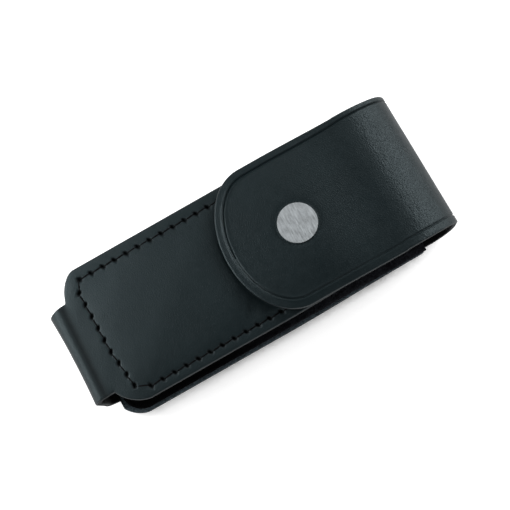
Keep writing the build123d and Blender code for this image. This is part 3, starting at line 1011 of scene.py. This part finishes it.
CREST_HALF = {1: FLAP_HALF - 0.15, -1: FLAP_HALF - 0.35}  # half the flap's width where the fold begins,
FOLD_HALF = {1: FLAP_HALF, -1: FLAP_HALF - 2.0}  # and at mid-height
BACK_BEND = 8.0
CREST_BEND = 22.0  # gentle start of the fold at the front
END_BEND = 9.0  # tighter turn down into the end wall
CREST_TURN = math.radians(35)
WALL_X = ARCH_HIGH[0] - HALF_LEATHER
ROOT_Z = ARCH_LOW[2] + HALF_LEATHER
FOLD_Z = ARCH_HIGH[2] - HALF_LEATHER
SPLIT_Z = 18.8  # where the flap's two pieces meet in the end wall
CREST_RUN = CREST_BEND * math.tan(CREST_TURN / 2) + END_BEND * math.tan((math.pi / 2 - CREST_TURN) / 2)
CREST_X = WALL_X - CREST_RUN * math.cos(CREST_TURN)
FLAT_X = CREST_X - CREST_BEND * math.tan(CREST_TURN / 2) - 0.3  # where the fold has run out into the flat
BAND = 6.6  # width of the border that follows the flap's outline
EDGE_LIFT = 0.9  # how far the visible flap stands clear of the front along its edges,
TIP_LIFT = 0.6  # and how much more at its tip
CAP_PRESS = 0.16  # how deep the cap presses into the flap
CREASE_INSET = 2.85  # from the flap's edge to the line creased round its tip
CREASE_WIDTH, LIP_AT = 0.24, 0.55  # half the width of that line, and how far beside it its lips are
PLATE_RIM = (5.3, 6.5)  # where the flap begins to leave the socket's plate, and is free of it
PULL_START, PULL_END = (45.5, 50.5), (57.5, 60)  # where the fold's pull lines come in, and mostly go

FOLD_COURSE = Course(
    [
        (BACK_HIGH[0], ROOT_Z),
        (WALL_X, ROOT_Z),
        (WALL_X, FOLD_Z - CREST_RUN * math.sin(CREST_TURN)),
        (CREST_X, FOLD_Z),
        (FLAT_X, FOLD_Z),
    ],
    [BACK_BEND, END_BEND, CREST_BEND],
)
FOLD_LENGTH = FOLD_COURSE.length
SPLIT_LENGTH = WALL_X - BACK_BEND - BACK_HIGH[0] + BACK_BEND * math.pi / 2 + SPLIT_Z - ROOT_Z - BACK_BEND


def fold_half_width(lengths, side):
    """Half the width of the flap on one side where it folds, by length along the fold."""
    t = (FOLD_COURSE.at(lengths)[1] - ARCH_LOW[2]) / (ARCH_HIGH[2] - ARCH_LOW[2])
    root, crest = ROOT_HALF * (1 - t) * (1 - 2 * t), CREST_HALF[side] * t * (2 * t - 1)
    return root + 4 * FOLD_HALF[side] * t * (1 - t) + crest


def tongue_half_width(x, side):
    """Half the width of the flap on one side along the straight part of its tongue."""
    return TIP_HALF[side] + (CREST_HALF[side] - TIP_HALF[side]) * ramp(x, SNAP_X - 2, FLAT_X)


def dome_underside(x, y):
    """Underside of the flap: flat at the fold, highest at the press stud, low along its edges."""
    fold_low = FOLD_Z - HALF_LEATHER
    edge_low = TONGUE_LOW[2] + EDGE_LIFT
    rise = ramp(x, FLAT_X - 2, SNAP_X)
    fall = np.clip((SNAP_X - x) / (SNAP_X - TONGUE_LOW[0]), 0, 1.2) ** 1.15
    middle = fold_low + (PLATE_Z - fold_low) * rise - (PLATE_Z - edge_low - TIP_LIFT) * fall
    sides = fold_low + (edge_low - fold_low) * rise
    bow = 1 - np.clip(np.abs(y) / FLAP_HALF, 0, 1.1) ** 3
    low = sides + (middle - sides) * bow
    off_plate = ramp(np.hypot(x - SNAP_X, y), *PLATE_RIM)
    return low + (np.maximum(low, PLATE_Z) - low) * (1 - off_plate)


def crease_inset(along, side):
    """Distance of the creased line from the flap's edge; along is 0 at the tip and 1 at the fold."""
    if side > 0:
        return CREASE_INSET - 0.35 * ramp(along, 0.1, 0.5) - 0.8 * ramp(along, 0.5, 0.85)
    return CREASE_INSET - 0.2 * ramp(along, 0.2, 0.5)


def crease_profile(offset, along, side):
    """A creased line: a narrow groove between two soft lips, which stand up most at the tip."""
    depth = sizes().crease_depth / MM * (1.0 if side > 0 else 0.75)
    lips = 0.3 - 0.22 * ramp(along, 0.3, 0.6)
    beside = (np.abs(offset) - LIP_AT) / CREASE_WIDTH
    return depth * (np.exp(-((offset / CREASE_WIDTH) ** 2)) - lips * np.exp(-(beside**2)))


def border_rows(inset, reach=0.8):
    """Distances from the edge: close at the edge, closest across the crease, and out to the band's width."""
    near = (inset - reach) * (np.linspace(0, 1, 9) ** 1.5)
    groove = np.linspace(inset - reach, inset + reach, 15)[1:]
    return np.concatenate([near, groove, np.linspace(inset + reach, BAND, 6)[1:]])


def flap_layout(length, halves, normals, shares, centres, middle_rows):
    """Sheet places, edge distances and crease depths.

    For each column there is a length, by side a half width and its normal along and across, a share of the
    way from the tip to the fold, and the length that the middle of the column bows to.
    """
    across = np.linspace(-1, 1, middle_rows + 1)[1:-1]
    inner = {side: length + normals[side][0] * BAND for side in SIDES}
    inner_half = {side: np.maximum(halves[side] + normals[side][1] * BAND, 0) for side in SIDES}
    columns = []
    for k, share in enumerate(shares):
        borders = {}
        for side in SIDES:
            inset = crease_inset(share, side)
            rows = border_rows(inset)
            along, out = (normal[k] * rows for normal in normals[side])
            out = side * np.maximum(halves[side][k] + out, 0)
            borders[side] = (length[k] + along, out, rows, crease_profile(rows - inset, share, side))
        ends = np.where(across > 0, inner[1][k], inner[-1][k])
        widths = np.where(across > 0, inner_half[1][k], inner_half[-1][k])
        middle = (
            ends * across**2 + centres[k] * (1 - across**2),
            widths * across,
            BAND + widths * (1 - np.abs(across)),
            0 * across,
        )
        parts = zip(borders[-1], middle, borders[1])
        columns.append([np.concatenate([left, mid, right[::-1]]) for left, mid, right in parts])
    return (np.array(values) for values in zip(*columns))


def fold_skins(lengths, crease, round_off):
    """Outer and inner places of the folded sheet, as along and up."""
    outer = FOLD_COURSE.at(lengths, round_off + crease - HALF_LEATHER)
    return outer, FOLD_COURSE.at(lengths, HALF_LEATHER - round_off)


def make_flap_root():
    """Lower half of the fold, from the back panel up to the middle of the end wall."""
    lengths = stations(0, SPLIT_LENGTH, coarse=0.6, fine=0.3, marks=(0,), reach=1)
    halves = {side: fold_half_width(lengths, side) for side in SIDES}
    normals = {side: (0 * lengths, 0 * lengths - 1) for side in SIDES}
    L, Y, edge, crease = flap_layout(lengths, halves, normals, 1 + 0 * lengths, lengths, 40)
    crease = crease * ramp(L, 6, SPLIT_LENGTH - 2)
    (outer_x, outer_z), (inner_x, inner_z) = fold_skins(L, crease, rounded_edge(edge))
    notes = {"edge": edge, "pit": 0.0, "bend": np.clip(FOLD_COURSE.bend_at(L) * 6, 0, 1)}
    sheet = make_sheet(
        "flap_root_leather", (outer_x, Y, outer_z), (inner_x, Y, inner_z), leather_skins(), notes
    )
    return sheet


def make_flap():
    """Upper half of the fold and the domed tongue, creased round its border."""
    folded = stations(SPLIT_LENGTH, FOLD_LENGTH, coarse=0.6, fine=0.6)
    tongue = stations(0, FLAT_X - ROUND_X, coarse=0.7, fine=0.7)[1:]
    turn = np.radians(np.linspace(0, 90, 76)[1:])
    round_start = FOLD_LENGTH + FLAT_X - ROUND_X
    length = np.concatenate([folded, FOLD_LENGTH + tongue, round_start + TONGUE_ROUND * np.sin(turn)])
    straight = len(folded) + len(tongue)
    halves, normals = {}, {}
    for side in SIDES:
        tip = TIP_HALF[side]
        sides = tongue_half_width(FLAT_X - tongue, side)
        halves[side] = np.concatenate([fold_half_width(folded, side), sides, tip * np.cos(turn)])
        slope = np.hypot(np.sin(turn) / TONGUE_ROUND, np.cos(turn) / tip)
        normals[side] = (
            np.concatenate([np.zeros(straight), -np.sin(turn) / TONGUE_ROUND / slope]),
            np.concatenate([-np.ones(straight), -np.cos(turn) / tip / slope]),
        )
    run = np.concatenate([[0], np.cumsum(np.hypot(np.diff(length), np.diff(halves[1])))])
    past_straight = np.clip((run - run[straight - 1]) / (run[-1] - run[straight - 1]), 0, 1)
    last = length[straight - 1]
    centres = np.where(past_straight > 0, last + (length[-1] - BAND - last) * past_straight, length)
    L, Y, edge, crease = flap_layout(length, halves, normals, 1 - run / run[-1], centres, 44)
    round_off = rounded_edge(edge)
    tongue_x = FLAT_X - (L - FOLD_LENGTH)
    low = dome_underside(tongue_x, Y)
    pressed = CAP_PRESS * np.exp(-(((np.hypot(tongue_x - SNAP_X, Y) - CAP_RADIUS) / 0.9) ** 2))
    outer, inner = fold_skins(np.minimum(L, FOLD_LENGTH), crease, round_off)
    top = low + LEATHER - round_off - crease - pressed
    in_fold = L <= FOLD_LENGTH
    outer_x, inner_x = (np.where(in_fold, skin[0], tongue_x) for skin in (outer, inner))
    outer_z, inner_z = np.where(in_fold, outer[1], top), np.where(in_fold, inner[1], low + round_off)
    bend = ramp(outer_x, *PULL_START) * (1 - 0.75 * ramp(outer_x, *PULL_END))
    sheet = make_sheet(
        "flap_leather", (outer_x, Y, outer_z), (inner_x, Y, inner_z), leather_skins(),
        {"edge": edge, "pit": 0.0, "bend": bend}, weld=0.004, folded_end=True,
    )
    return sheet


# ---------------------------------------------------------------- bellows

GUSSET = 1.4  # thickness of the gussets' leather
FLANGE = 6.4  # how far in the gussets are sewn
FOLD_IN = 1.6  # how much further in their middle fold is
BELLOWS_CORNER = 7.6  # radius of the bellows' outline at the shoulders
BACK_MARGIN = 0.9  # bare back panel outside the bellows' back flange
WAVE = 0.22  # height of the waves in the gussets' walls
BELLOWS = Course(
    [
        (0.6, FRONT_LOW[2] - GUSSET / 2),
        (FLANGE, FRONT_LOW[2] - GUSSET / 2),
        (FLANGE + FOLD_IN, POCKET_MIDDLE),
        (FLANGE, BACK_HIGH[2] + GUSSET / 2),
        (BACK_MARGIN, BACK_HIGH[2] + GUSSET / 2),
    ],
    [1.7, 2.4, 1.7],
)


def outline_point(low, high, inset, path):
    """Point inset from a panel's outline at a place on the path round it.

    The path is 0 at the mouth, goes from 1 to 2 round the shoulder and is 3 in the middle of the nose.
    """
    over = past(inset - BELLOWS_CORNER)
    ring = past(BELLOWS_CORNER - inset)
    angle = np.radians(90 + 90 * np.clip(path - 1, 0, 1))
    x = low[0] + BELLOWS_CORNER + over + ring * np.cos(angle)
    return x, high[1] - BELLOWS_CORNER - over + ring * np.sin(angle)


def bellows_place(inset, z, path):
    """Point of the bellows at a section place and a place along the path, on the +Y side."""
    front_x, front_y = outline_point(FRONT_LOW, FRONT_HIGH, inset, path)
    root_x, root_y = outline_point(FRONT_LOW, FRONT_HIGH, np.full_like(inset, FLANGE), path)
    back_x, back_y = outline_point(BACK_LOW, BACK_HIGH, np.zeros_like(inset), path)
    share = np.clip((FLANGE - inset) / FLANGE, -0.2, 1.2)
    behind = (z < POCKET_MIDDLE) & (inset < FLANGE)
    x = np.where(behind, root_x * (1 - share) + back_x * share, front_x)
    y = np.where(behind, root_y * (1 - share) + back_y * share, front_y)
    height = (z - BACK_HIGH[2]) / (FRONT_LOW[2] - BACK_HIGH[2])
    mouth = BACK_HIGH[0] - height * (BACK_HIGH[0] - FRONT_HIGH[0])
    side, nose = np.clip(path, 0, 1), np.clip(path - 2, 0, 1)
    x = np.where(path < 1, mouth * (1 - side) + x * side, x)
    return x, np.where(path > 2, y * (1 - nose), y)


def make_gusset(name, path, mirrored=False, whole=False):
    """A strip of the bellows along part of the path, with a soft wave in its walls."""
    lengths = stations(0, BELLOWS.length, coarse=0.7, fine=0.3, marks=(0, BELLOWS.length), reach=0.6)
    edge = np.minimum(lengths, BELLOWS.length - lengths)
    path = path[:, None]
    wave = WAVE * np.sin(path * 9.0) * np.sin(np.pi * lengths / BELLOWS.length)[None, :] ** 2
    wave = wave * ramp(path, 0.0, 0.1) * ramp(path, 1.0, 0.85)
    skins = []
    for face in SIDES:
        inset, z = BELLOWS.at(lengths, face * (GUSSET / 2 - rounded(edge, 0.5)))
        z = z[None, :] + 0 * path
        x, y = bellows_place(inset[None, :] + wave, z, path + 0 * z)
        if whole:
            x, y, z = (np.concatenate([v, sign * v[-2::-1]]) for v, sign in ((x, 1), (y, -1), (z, 1)))
        skins.append((x, -y if mirrored else y, z))
    suede = finish("gusset_suede", paint_suede, colours().gusset, 0.05, None, tuple(colours().rubbed_and_lit))
    sheet = make_sheet(name, *skins, (suede, suede, suede), {"edge": edge[None, :]}, weld=0.003)
    return sheet


# ---------------------------------------------------------------- belt loop

LOOP_OPENING = 52.0
LOOP_RAMP = 5.0  # length of the slope between a sewn tab and the loop
LOOP_BEND = 4.5


def make_loop():
    """Strap sewn to the back at both ends, standing off by the belt's thickness."""
    middle_x = (LOOP_LOW[0] + LOOP_HIGH[0]) / 2
    reach = (LOOP_HIGH[0] - LOOP_LOW[0]) / 2
    tab_z = LOOP_HIGH[2] - HALF_LEATHER
    strap_z = LOOP_LOW[2] + HALF_LEATHER
    inner = LOOP_OPENING / 2
    outer = inner + LOOP_RAMP
    half_course = [(reach, tab_z), (outer, tab_z), (inner, strap_z)]
    points = [(middle_x - x, z) for x, z in half_course] + [(middle_x + x, z) for x, z in half_course[::-1]]
    course = Course(points, [LOOP_BEND] * 4)
    bars = bars_of(TAB_SEAMS)
    holes = awl_holes(bars)
    half = LOOP_HIGH[1]
    marks = [0, course.length]
    for hole in holes:
        back = reach - abs(hole[0] - middle_x)
        marks.append(back if hole[0] < middle_x else course.length - back)
    lengths = stations(0, course.length, coarse=1.0, fine=0.25, marks=marks, reach=0.7)
    marks = [-half, half] + [hole[1] for hole in holes]
    y = stations(-half, half, coarse=1.0, fine=0.25, marks=marks, reach=0.6)
    L, Y = np.meshgrid(lengths, y, indexing="ij")
    ends = np.minimum(L, course.length - L)
    edge = np.minimum(half - np.abs(Y), ends)
    on_tab = ends < reach - outer
    relief = sewn_relief(course.at(L)[0], Y, bars, NO_CORNER)
    channel, pits, hole_shade_mask = (part * on_tab for part in relief)
    thick = HALF_LEATHER - rounded_edge(edge)
    outer_x, outer_z = course.at(L, channel + HOLE_DEPTH * pits - thick)
    inner_x, inner_z = course.at(L, thick)
    notes = {"edge": edge, "pit": hole_shade_mask, "bend": np.clip(course.bend_at(L) * 5, 0, 1)}
    sheet = make_sheet(
        "belt_loop_leather", (outer_x, Y, outer_z), (inner_x, Y, inner_z), leather_skins(), notes
    )
    return sheet


# ---------------------------------------------------------------- stitches

STITCH_CUTS = (-0.40, -0.25, 0.0, 0.25, 0.40)
STITCH_SINK = 0.06  # how deep a stitch lies in the leather
STITCH_SHORT = 0.35  # how much shorter it is than its CAD bar
STITCH_TAPER, STITCH_DIP = 0.55, 0.95  # how much it thins and turns down at its ends


def make_stitch():
    """One stitch along X: a round, its ends turned down into their holes, mapped for the thread's plies."""
    select_only()
    bpy.ops.mesh.primitive_cylinder_add(
        vertices=8, radius=0.5, depth=1, end_fill_type="NGON", rotation=(0, math.pi / 2, 0)
    )
    stitch = bpy.context.object
    bpy.ops.object.transform_apply(location=False, rotation=True, scale=False)
    bpy.ops.object.mode_set(mode="EDIT")
    for place in STITCH_CUTS:
        bpy.ops.mesh.select_all(action="SELECT")
        bpy.ops.mesh.bisect(plane_co=(place, 0, 0), plane_no=(1, 0, 0))
    bpy.ops.object.mode_set(mode="OBJECT")
    places = vertex_places(stitch)
    along = places[:, 0] * 2
    layout = stitch.data.uv_layers.new(name="stitch_map")
    around = np.arctan2(places[:, 2], places[:, 1]) / (2 * math.pi)
    for loop in stitch.data.loops:
        layout.data[loop.index].uv = (along[loop.vertex_index] / 2, around[loop.vertex_index])
    taper = np.sqrt(np.clip(1 - STITCH_TAPER * np.abs(along) ** 4, 0.1, 1))
    dip = STITCH_DIP * np.abs(along) ** 5
    put_vertices(stitch, np.stack([places[:, 0], places[:, 1] * taper, places[:, 2] * taper - dip], -1) / MM)
    stitch.data.materials.append(finish("waxed_thread", paint_thread))
    return stitch


def lay_stitches(name, seam, pattern, surface_z, up, slant, corner_x):
    """Copies of the stitch along a CAD seam, each turned a little off the seam's line."""
    wide = sizes().thread_width / MM
    template = vertex_places(pattern)
    copies = []
    for middle, way, length in stitch_bars(seam):
        angle = sewn_angle(middle, way, corner_x) + math.radians(slant)
        select_only(pattern)
        bpy.ops.object.duplicate(linked=False)
        copy = bpy.context.object
        local = template * np.array([length - STITCH_SHORT, wide, wide])
        ca, sa = math.cos(angle), math.sin(angle)
        x = middle[0] + local[:, 0] * ca - local[:, 1] * sa
        y = middle[1] + local[:, 0] * sa + local[:, 1] * ca
        z = surface_z + up * (local[:, 2] - STITCH_SINK)
        put_vertices(copy, np.stack([x, y, z], -1))
        copies.append(copy)
    select_only(*copies)
    bpy.ops.object.join()
    thread = bpy.context.object
    thread.name = thread.data.name = name
    face_outwards(thread, 60)
    return thread


# ---------------------------------------------------------------- press stud

CAP_EDGE = 0.55  # height of the cap's straight edge
CAP_RIM = 1.1  # height of the whole cap over the foot of that edge
POST_RADIUS = 1.5
GROOVE_AT, GROOVE_HALF = 0.83, 0.14  # how far in from the edge the rim's groove is, and half its width
GROOVE_TARNISH = 0.8
# Inset and rise of each ring of the cap: over the rolled rim, down into its groove and up the low crown.
CAP_RINGS = (
    (0.16, 0.10), (0.22, 0.07), (0.24, -0.02), (0.16, -0.12), (0.16, 0.06),
    (0.5, 0.13), (1.0, 0.13), (1.2, 0.09), (1.3, 0.04),
)
POST_END = ((-0.02, 1.35), (-0.14, 1.05), (-0.12, 0.86))  # length and widening of each ring of the rolled end


def select_faces(piece, test):
    """Selects the faces of the piece in edit mode whose middle and normal pass the test."""
    mesh = bmesh.from_edit_mesh(piece.data)
    bpy.ops.mesh.select_all(action="DESELECT")
    for face in mesh.faces:
        face.select_set(test(face.calc_center_median() / MM, face.normal))
    mesh.select_flush_mode()
    bmesh.update_edit_mesh(piece.data)


def make_cap():
    """Disc of the press stud: a low crown inside a rolled rim, with its post and rolled end below."""
    foot = CAP_HIGH[2] - CAP_RIM
    radius = CAP_RADIUS - 0.2
    select_only()
    bpy.ops.mesh.primitive_cylinder_add(
        vertices=96, radius=radius * MM, depth=CAP_EDGE * MM, end_fill_type="NGON",
        location=(SNAP_X * MM, 0, (foot + CAP_EDGE / 2) * MM),
    )
    cap = bpy.context.object
    cap.name = cap.data.name = "snap_cap_disc"
    bpy.ops.object.transform_apply(location=True, rotation=False, scale=False)
    bpy.ops.object.mode_set(mode="EDIT")
    top = foot + CAP_EDGE

    def is_crown(centre, normal):
        in_middle = abs(centre.x - SNAP_X) < 0.05 and abs(centre.y) < 0.05
        return normal.z > 0.9 and centre.z > top - 0.06 and in_middle

    def is_base(centre, normal):
        return normal.z < -0.9 and centre.z < foot + 0.06

    def extrude(rise):
        bpy.ops.mesh.extrude_region_move(TRANSFORM_OT_translate={"value": (0, 0, rise * MM)})

    for inset, rise in CAP_RINGS:
        select_faces(cap, is_crown)
        bpy.ops.mesh.inset(thickness=inset * MM)
        bpy.ops.transform.translate(value=(0, 0, rise * MM))
        top += rise
    select_faces(cap, is_base)
    bpy.ops.mesh.inset(thickness=0.2 * MM)
    bpy.ops.transform.translate(value=(0, 0, -0.06 * MM))
    bpy.ops.mesh.inset(thickness=(radius - 0.2 - POST_RADIUS) * MM)
    extrude(PLATE_Z - foot)
    for rise, wider in POST_END:
        extrude(rise)
        bpy.ops.transform.resize(value=(wider, wider, 1))
    bpy.ops.object.mode_set(mode="OBJECT")
    places = vertex_places(cap) / MM
    from_rim = radius - np.hypot(places[:, 0] - SNAP_X, places[:, 1])
    recess = np.exp(-(((from_rim - GROOVE_AT) / GROOVE_HALF) ** 2)) * (places[:, 2] > foot + 0.3)
    note(cap, "recess", recess * GROOVE_TARNISH)
    cap.data.materials.append(finish("aged_silver_cap", paint_silver, 0.5))
    face_outwards(cap, 50)
    return cap


# ---------------------------------------------------------------- stage

FLOOR_GLOW = 0.78  # brightness of the floor's own, over what the lamps give it
FLOOR_MIRRORED = 0.5  # how much of that shows in shiny pieces
FLOOR_SHADE = 9.0  # how far from the pouch the floor's glow is dimmed as shade
FLOOR_DARK, FLOOR_OPEN = 0.765, 0.887  # how open the floor is where it is darkest, and where it glows in full
TARGET = (3.05, 1.30, 19.2)  # what the camera and the lamps look at
# Lamps: the way to each from the target, then its distance, width and height in metres.
LAMPS = {
    "key": ((-0.95, 0.65, 1.0), 0.3, 0.14, 0.14),
    "side": ((1.0, 0.15, 0.60), 0.8, 0.6, 0.4),
    "top": ((0.45, 0.9, 1.1), 0.5, 0.1, 0.1),
    "nose": ((-1.0, 0.1, 0.4), 0.9, 0.5, 0.3),
    "fill": ((0.1, -1.0, 0.45), 0.9, 0.9, 0.3),
}
CAMERA_FAR = 400.0
CAMERA_TILT = math.radians(11.02)  # from straight down towards -Y
CAMERA_TURN = math.radians(29.6)  # roll of the picture
CAMERA_LENS = 91.9
CAMERA_SENSOR = 36.0


def paint_floor(nodes):
    """Plain matt floor that the camera sees nearly white, its glow dimmed close to the pouch as painted
    shade.
    """
    path = nodes.add("LightPath", {})
    seen = nodes.math("MAXIMUM", path["Is Camera Ray"], path["Is Transmission Ray"])
    mirrored = nodes.math("MULTIPLY", path["Is Glossy Ray"], FLOOR_MIRRORED)
    openness = nodes.add("AmbientOcclusion", {"Distance": FLOOR_SHADE * MM}, samples=8)["AO"]
    # Painted shade: the glow drops where the pouch hides the floor.
    level = nodes.remap(openness, FLOOR_DARK, FLOOR_OPEN, 0.0, FLOOR_GLOW)
    return {
        "Base Color": nodes.shades(nodes.noise(nodes.place(), 9.0), colours().floor, 1.0, 0.995),
        "Roughness": 1.0,
        "Specular IOR Level": 0.0,
        "Emission Color": (1, 1, 1, 1),
        "Emission Strength": nodes.math("MULTIPLY", nodes.math("MAXIMUM", seen, mirrored), level),
    }


def make_floor():
    select_only()
    bpy.ops.mesh.primitive_plane_add(size=6, location=(0, 0, -0.02 * MM))
    floor = bpy.context.object
    floor.name = "floor"
    floor.data.materials.append(finish("pale_floor", paint_floor))
    return floor


def light_room(scene):
    """Even light from all around, which the camera sees as white."""
    world = bpy.data.worlds.new("room")
    world.use_nodes = True
    scene.world = world
    nodes = Nodes(world.node_tree)
    room = scene.pouch_light.room
    seen = nodes.math("MULTIPLY", nodes.add("LightPath", {})["Is Camera Ray"], 1 - room)
    looks = {"Color": (1, 1, 1, 1), "Strength": nodes.math("ADD", room, seen)}
    nodes.feed(world.node_tree.nodes["Background"], looks)


def place_lamps(scene):
    target = Vector(TARGET) * MM
    for name, (way, far, wide, tall) in LAMPS.items():
        select_only()
        place = target + Vector(way).normalized() * far
        bpy.ops.object.light_add(type="AREA", location=place)
        lamp = bpy.context.object
        lamp.name = name + "_light"
        lamp.data.shape = "RECTANGLE"
        lamp.data.size = wide
        lamp.data.size_y = tall
        lamp.data.energy = getattr(scene.pouch_light, name)
        lamp.rotation_euler = (target - place).to_track_quat("-Z", "Y").to_euler()


def place_camera(scene):
    towards = Vector((0, -math.sin(CAMERA_TILT), math.cos(CAMERA_TILT)))
    along = Vector((1, 0, 0))
    across = Vector((0, math.cos(CAMERA_TILT), math.sin(CAMERA_TILT)))
    right = math.cos(CAMERA_TURN) * along - math.sin(CAMERA_TURN) * across
    up = math.sin(CAMERA_TURN) * along + math.cos(CAMERA_TURN) * across
    place = Vector(TARGET) * MM + CAMERA_FAR * MM * towards
    select_only()
    bpy.ops.object.camera_add(location=place)
    camera = bpy.context.object
    camera.name = "camera"
    turned = Matrix((right, up, towards)).transposed().to_4x4()
    turned.translation = place
    camera.matrix_world = turned
    camera.data.sensor_width = CAMERA_SENSOR
    camera.data.lens = CAMERA_LENS
    camera.data.clip_start = 0.01
    scene.camera = camera


# ---------------------------------------------------------------- operators


class POUCH_OT_stage(bpy.types.Operator):
    """White floor, soft lights and the camera"""

    bl_idname = "pouch.stage"
    bl_label = "Stage"

    def execute(self, context):
        floor = make_floor()
        light_room(context.scene)
        place_lamps(context.scene)
        place_camera(context.scene)
        context.scene.view_settings.view_transform = "Standard"
        return {"FINISHED"}


class POUCH_OT_front_panel(bpy.types.Operator):
    """Front panel, pillowed inside its seam"""

    bl_idname = "pouch.front_panel"
    bl_label = "Front panel"

    def execute(self, context):
        panel = make_panel("front_panel_leather", FRONT_OUTLINE, FRONT_SEAMS, False)
        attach(panel, "pouch")
        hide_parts("front_panel")
        return {"FINISHED"}


class POUCH_OT_back_panel(bpy.types.Operator):
    """Back panel, sewn from behind"""

    bl_idname = "pouch.back_panel"
    bl_label = "Back panel"

    def execute(self, context):
        panel = make_panel("back_panel_leather", BACK_OUTLINE, BACK_SEAMS, True)
        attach(panel, "pouch")
        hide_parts("back_panel")
        return {"FINISHED"}


class POUCH_OT_bottom_strap(bpy.types.Operator):
    """Strap round the nose"""

    bl_idname = "pouch.bottom_strap"
    bl_label = "Bottom strap"

    def execute(self, context):
        strap = make_strap()
        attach(strap, "pouch")
        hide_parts("bottom_strap")
        return {"FINISHED"}


class POUCH_OT_bellows(bpy.types.Operator):
    """Folded gussets down both sides and across the nose"""

    bl_idname = "pouch.bellows"
    bl_label = "Bellows"

    def execute(self, context):
        side = np.concatenate([np.linspace(0, 1, 91), np.linspace(1, 1.5, 10)[1:]])
        nose = np.concatenate([np.linspace(1.5, 2, 10), np.linspace(2, 3, 18)[1:]])
        for name, path, part in (
            ("left_gusset", side, {}),
            ("right_gusset", side, {"mirrored": True}),
            ("bottom_gusset", nose, {"whole": True}),
        ):
            strip = make_gusset(name + "_suede", path, **part)
            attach(strip, "pouch")
            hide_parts(name)
        return {"FINISHED"}


class POUCH_OT_belt_loop(bpy.types.Operator):
    """Belt loop on the back"""

    bl_idname = "pouch.belt_loop"
    bl_label = "Belt loop"

    def execute(self, context):
        loop = make_loop()
        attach(loop, "pouch")
        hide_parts("belt_loop")
        return {"FINISHED"}


class POUCH_OT_flap(bpy.types.Operator):
    """Flap with its fold and creased border"""

    bl_idname = "pouch.flap"
    bl_label = "Flap"

    def execute(self, context):
        root = make_flap_root()
        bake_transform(root)
        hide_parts("flap_arch")
        flap = make_flap()
        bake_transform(flap)
        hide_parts("flap_arch", "flap_tongue")
        return {"FINISHED"}


# Seams, height of their face, the way it faces, slant of their stitches, and their corner at the nose.
SEAM_ROWS = (
    (FRONT_SEAMS, FRONT_HIGH[2], 1, 6, -47.0),
    (BACK_SEAMS, BACK_LOW[2], -1, -6, -50.0),
    (TAB_SEAMS, LOOP_HIGH[2] - LEATHER, -1, -6, NO_CORNER),
)


class POUCH_OT_stitches(bpy.types.Operator):
    """Saddle stitches along every seam"""

    bl_idname = "pouch.stitches"
    bl_label = "Stitches"

    def execute(self, context):
        pattern = make_stitch()
        for seams, surface, up, slant, corner in SEAM_ROWS:
            for seam in seams:
                thread = lay_stitches(seam + "_thread", seam, pattern, surface, up, slant, corner)
                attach(thread, "pouch")
                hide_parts(seam)
        bpy.data.objects.remove(pattern)
        return {"FINISHED"}


class POUCH_OT_press_stud(bpy.types.Operator):
    """Press stud: cap, socket, spring, stud and eyelet"""

    bl_idname = "pouch.press_stud"
    bl_label = "Press stud"

    def execute(self, context):
        cap = make_cap()
        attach(cap, "flap_end")
        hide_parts("snap_cap")
        silver = finish("aged_silver", paint_silver, 0.55)
        spring = finish("spring_wire", paint_spring)
        for name, metal in (
            ("snap_socket", silver),
            ("snap_stud", silver),
            ("stud_eyelet", silver),
            ("snap_spring", spring),
        ):
            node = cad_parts[name]
            node.data.materials.clear()
            node.data.materials.append(metal)
        return {"FINISHED"}


class POUCH_PT_panel(bpy.types.Panel):
    """Lists the pouch's pieces in the sidebar"""

    bl_idname = "POUCH_PT_panel"
    bl_label = "Belt pouch"
    bl_space_type = "VIEW_3D"
    bl_region_type = "UI"
    bl_category = "Pouch"

    def draw(self, context):
        for settings in (context.scene.pouch_sizes, context.scene.pouch_colours, context.scene.pouch_light):
            box = self.layout.box()
            for name in settings.bl_rna.properties.keys():
                if name not in ("rna_type", "name"):
                    box.prop(settings, name)
        for operator in OPERATORS:
            self.layout.operator(operator.bl_idname)


OPERATORS = (
    POUCH_OT_stage,
    POUCH_OT_front_panel,
    POUCH_OT_back_panel,
    POUCH_OT_bottom_strap,
    POUCH_OT_bellows,
    POUCH_OT_belt_loop,
    POUCH_OT_flap,
    POUCH_OT_stitches,
    POUCH_OT_press_stud,
)
SETTINGS = (
    ("pouch_sizes", PouchSizes),
    ("pouch_colours", PouchColours),
    ("pouch_light", PouchLight),
)


def register():
    for _, group in SETTINGS:
        bpy.utils.register_class(group)
    for name, group in SETTINGS:
        setattr(bpy.types.Scene, name, PointerProperty(type=group))
    for operator in OPERATORS:
        bpy.utils.register_class(operator)
    bpy.utils.register_class(POUCH_PT_panel)


def unregister():
    bpy.utils.unregister_class(POUCH_PT_panel)
    for operator in reversed(OPERATORS):
        bpy.utils.unregister_class(operator)
    for name, group in reversed(SETTINGS):
        delattr(bpy.types.Scene, name)
        bpy.utils.unregister_class(group)


def main():
    register()
    for operator in OPERATORS:
        family, action = operator.bl_idname.split(".")
        getattr(getattr(bpy.ops, family), action)()


if __name__ == "__main__":
    main()
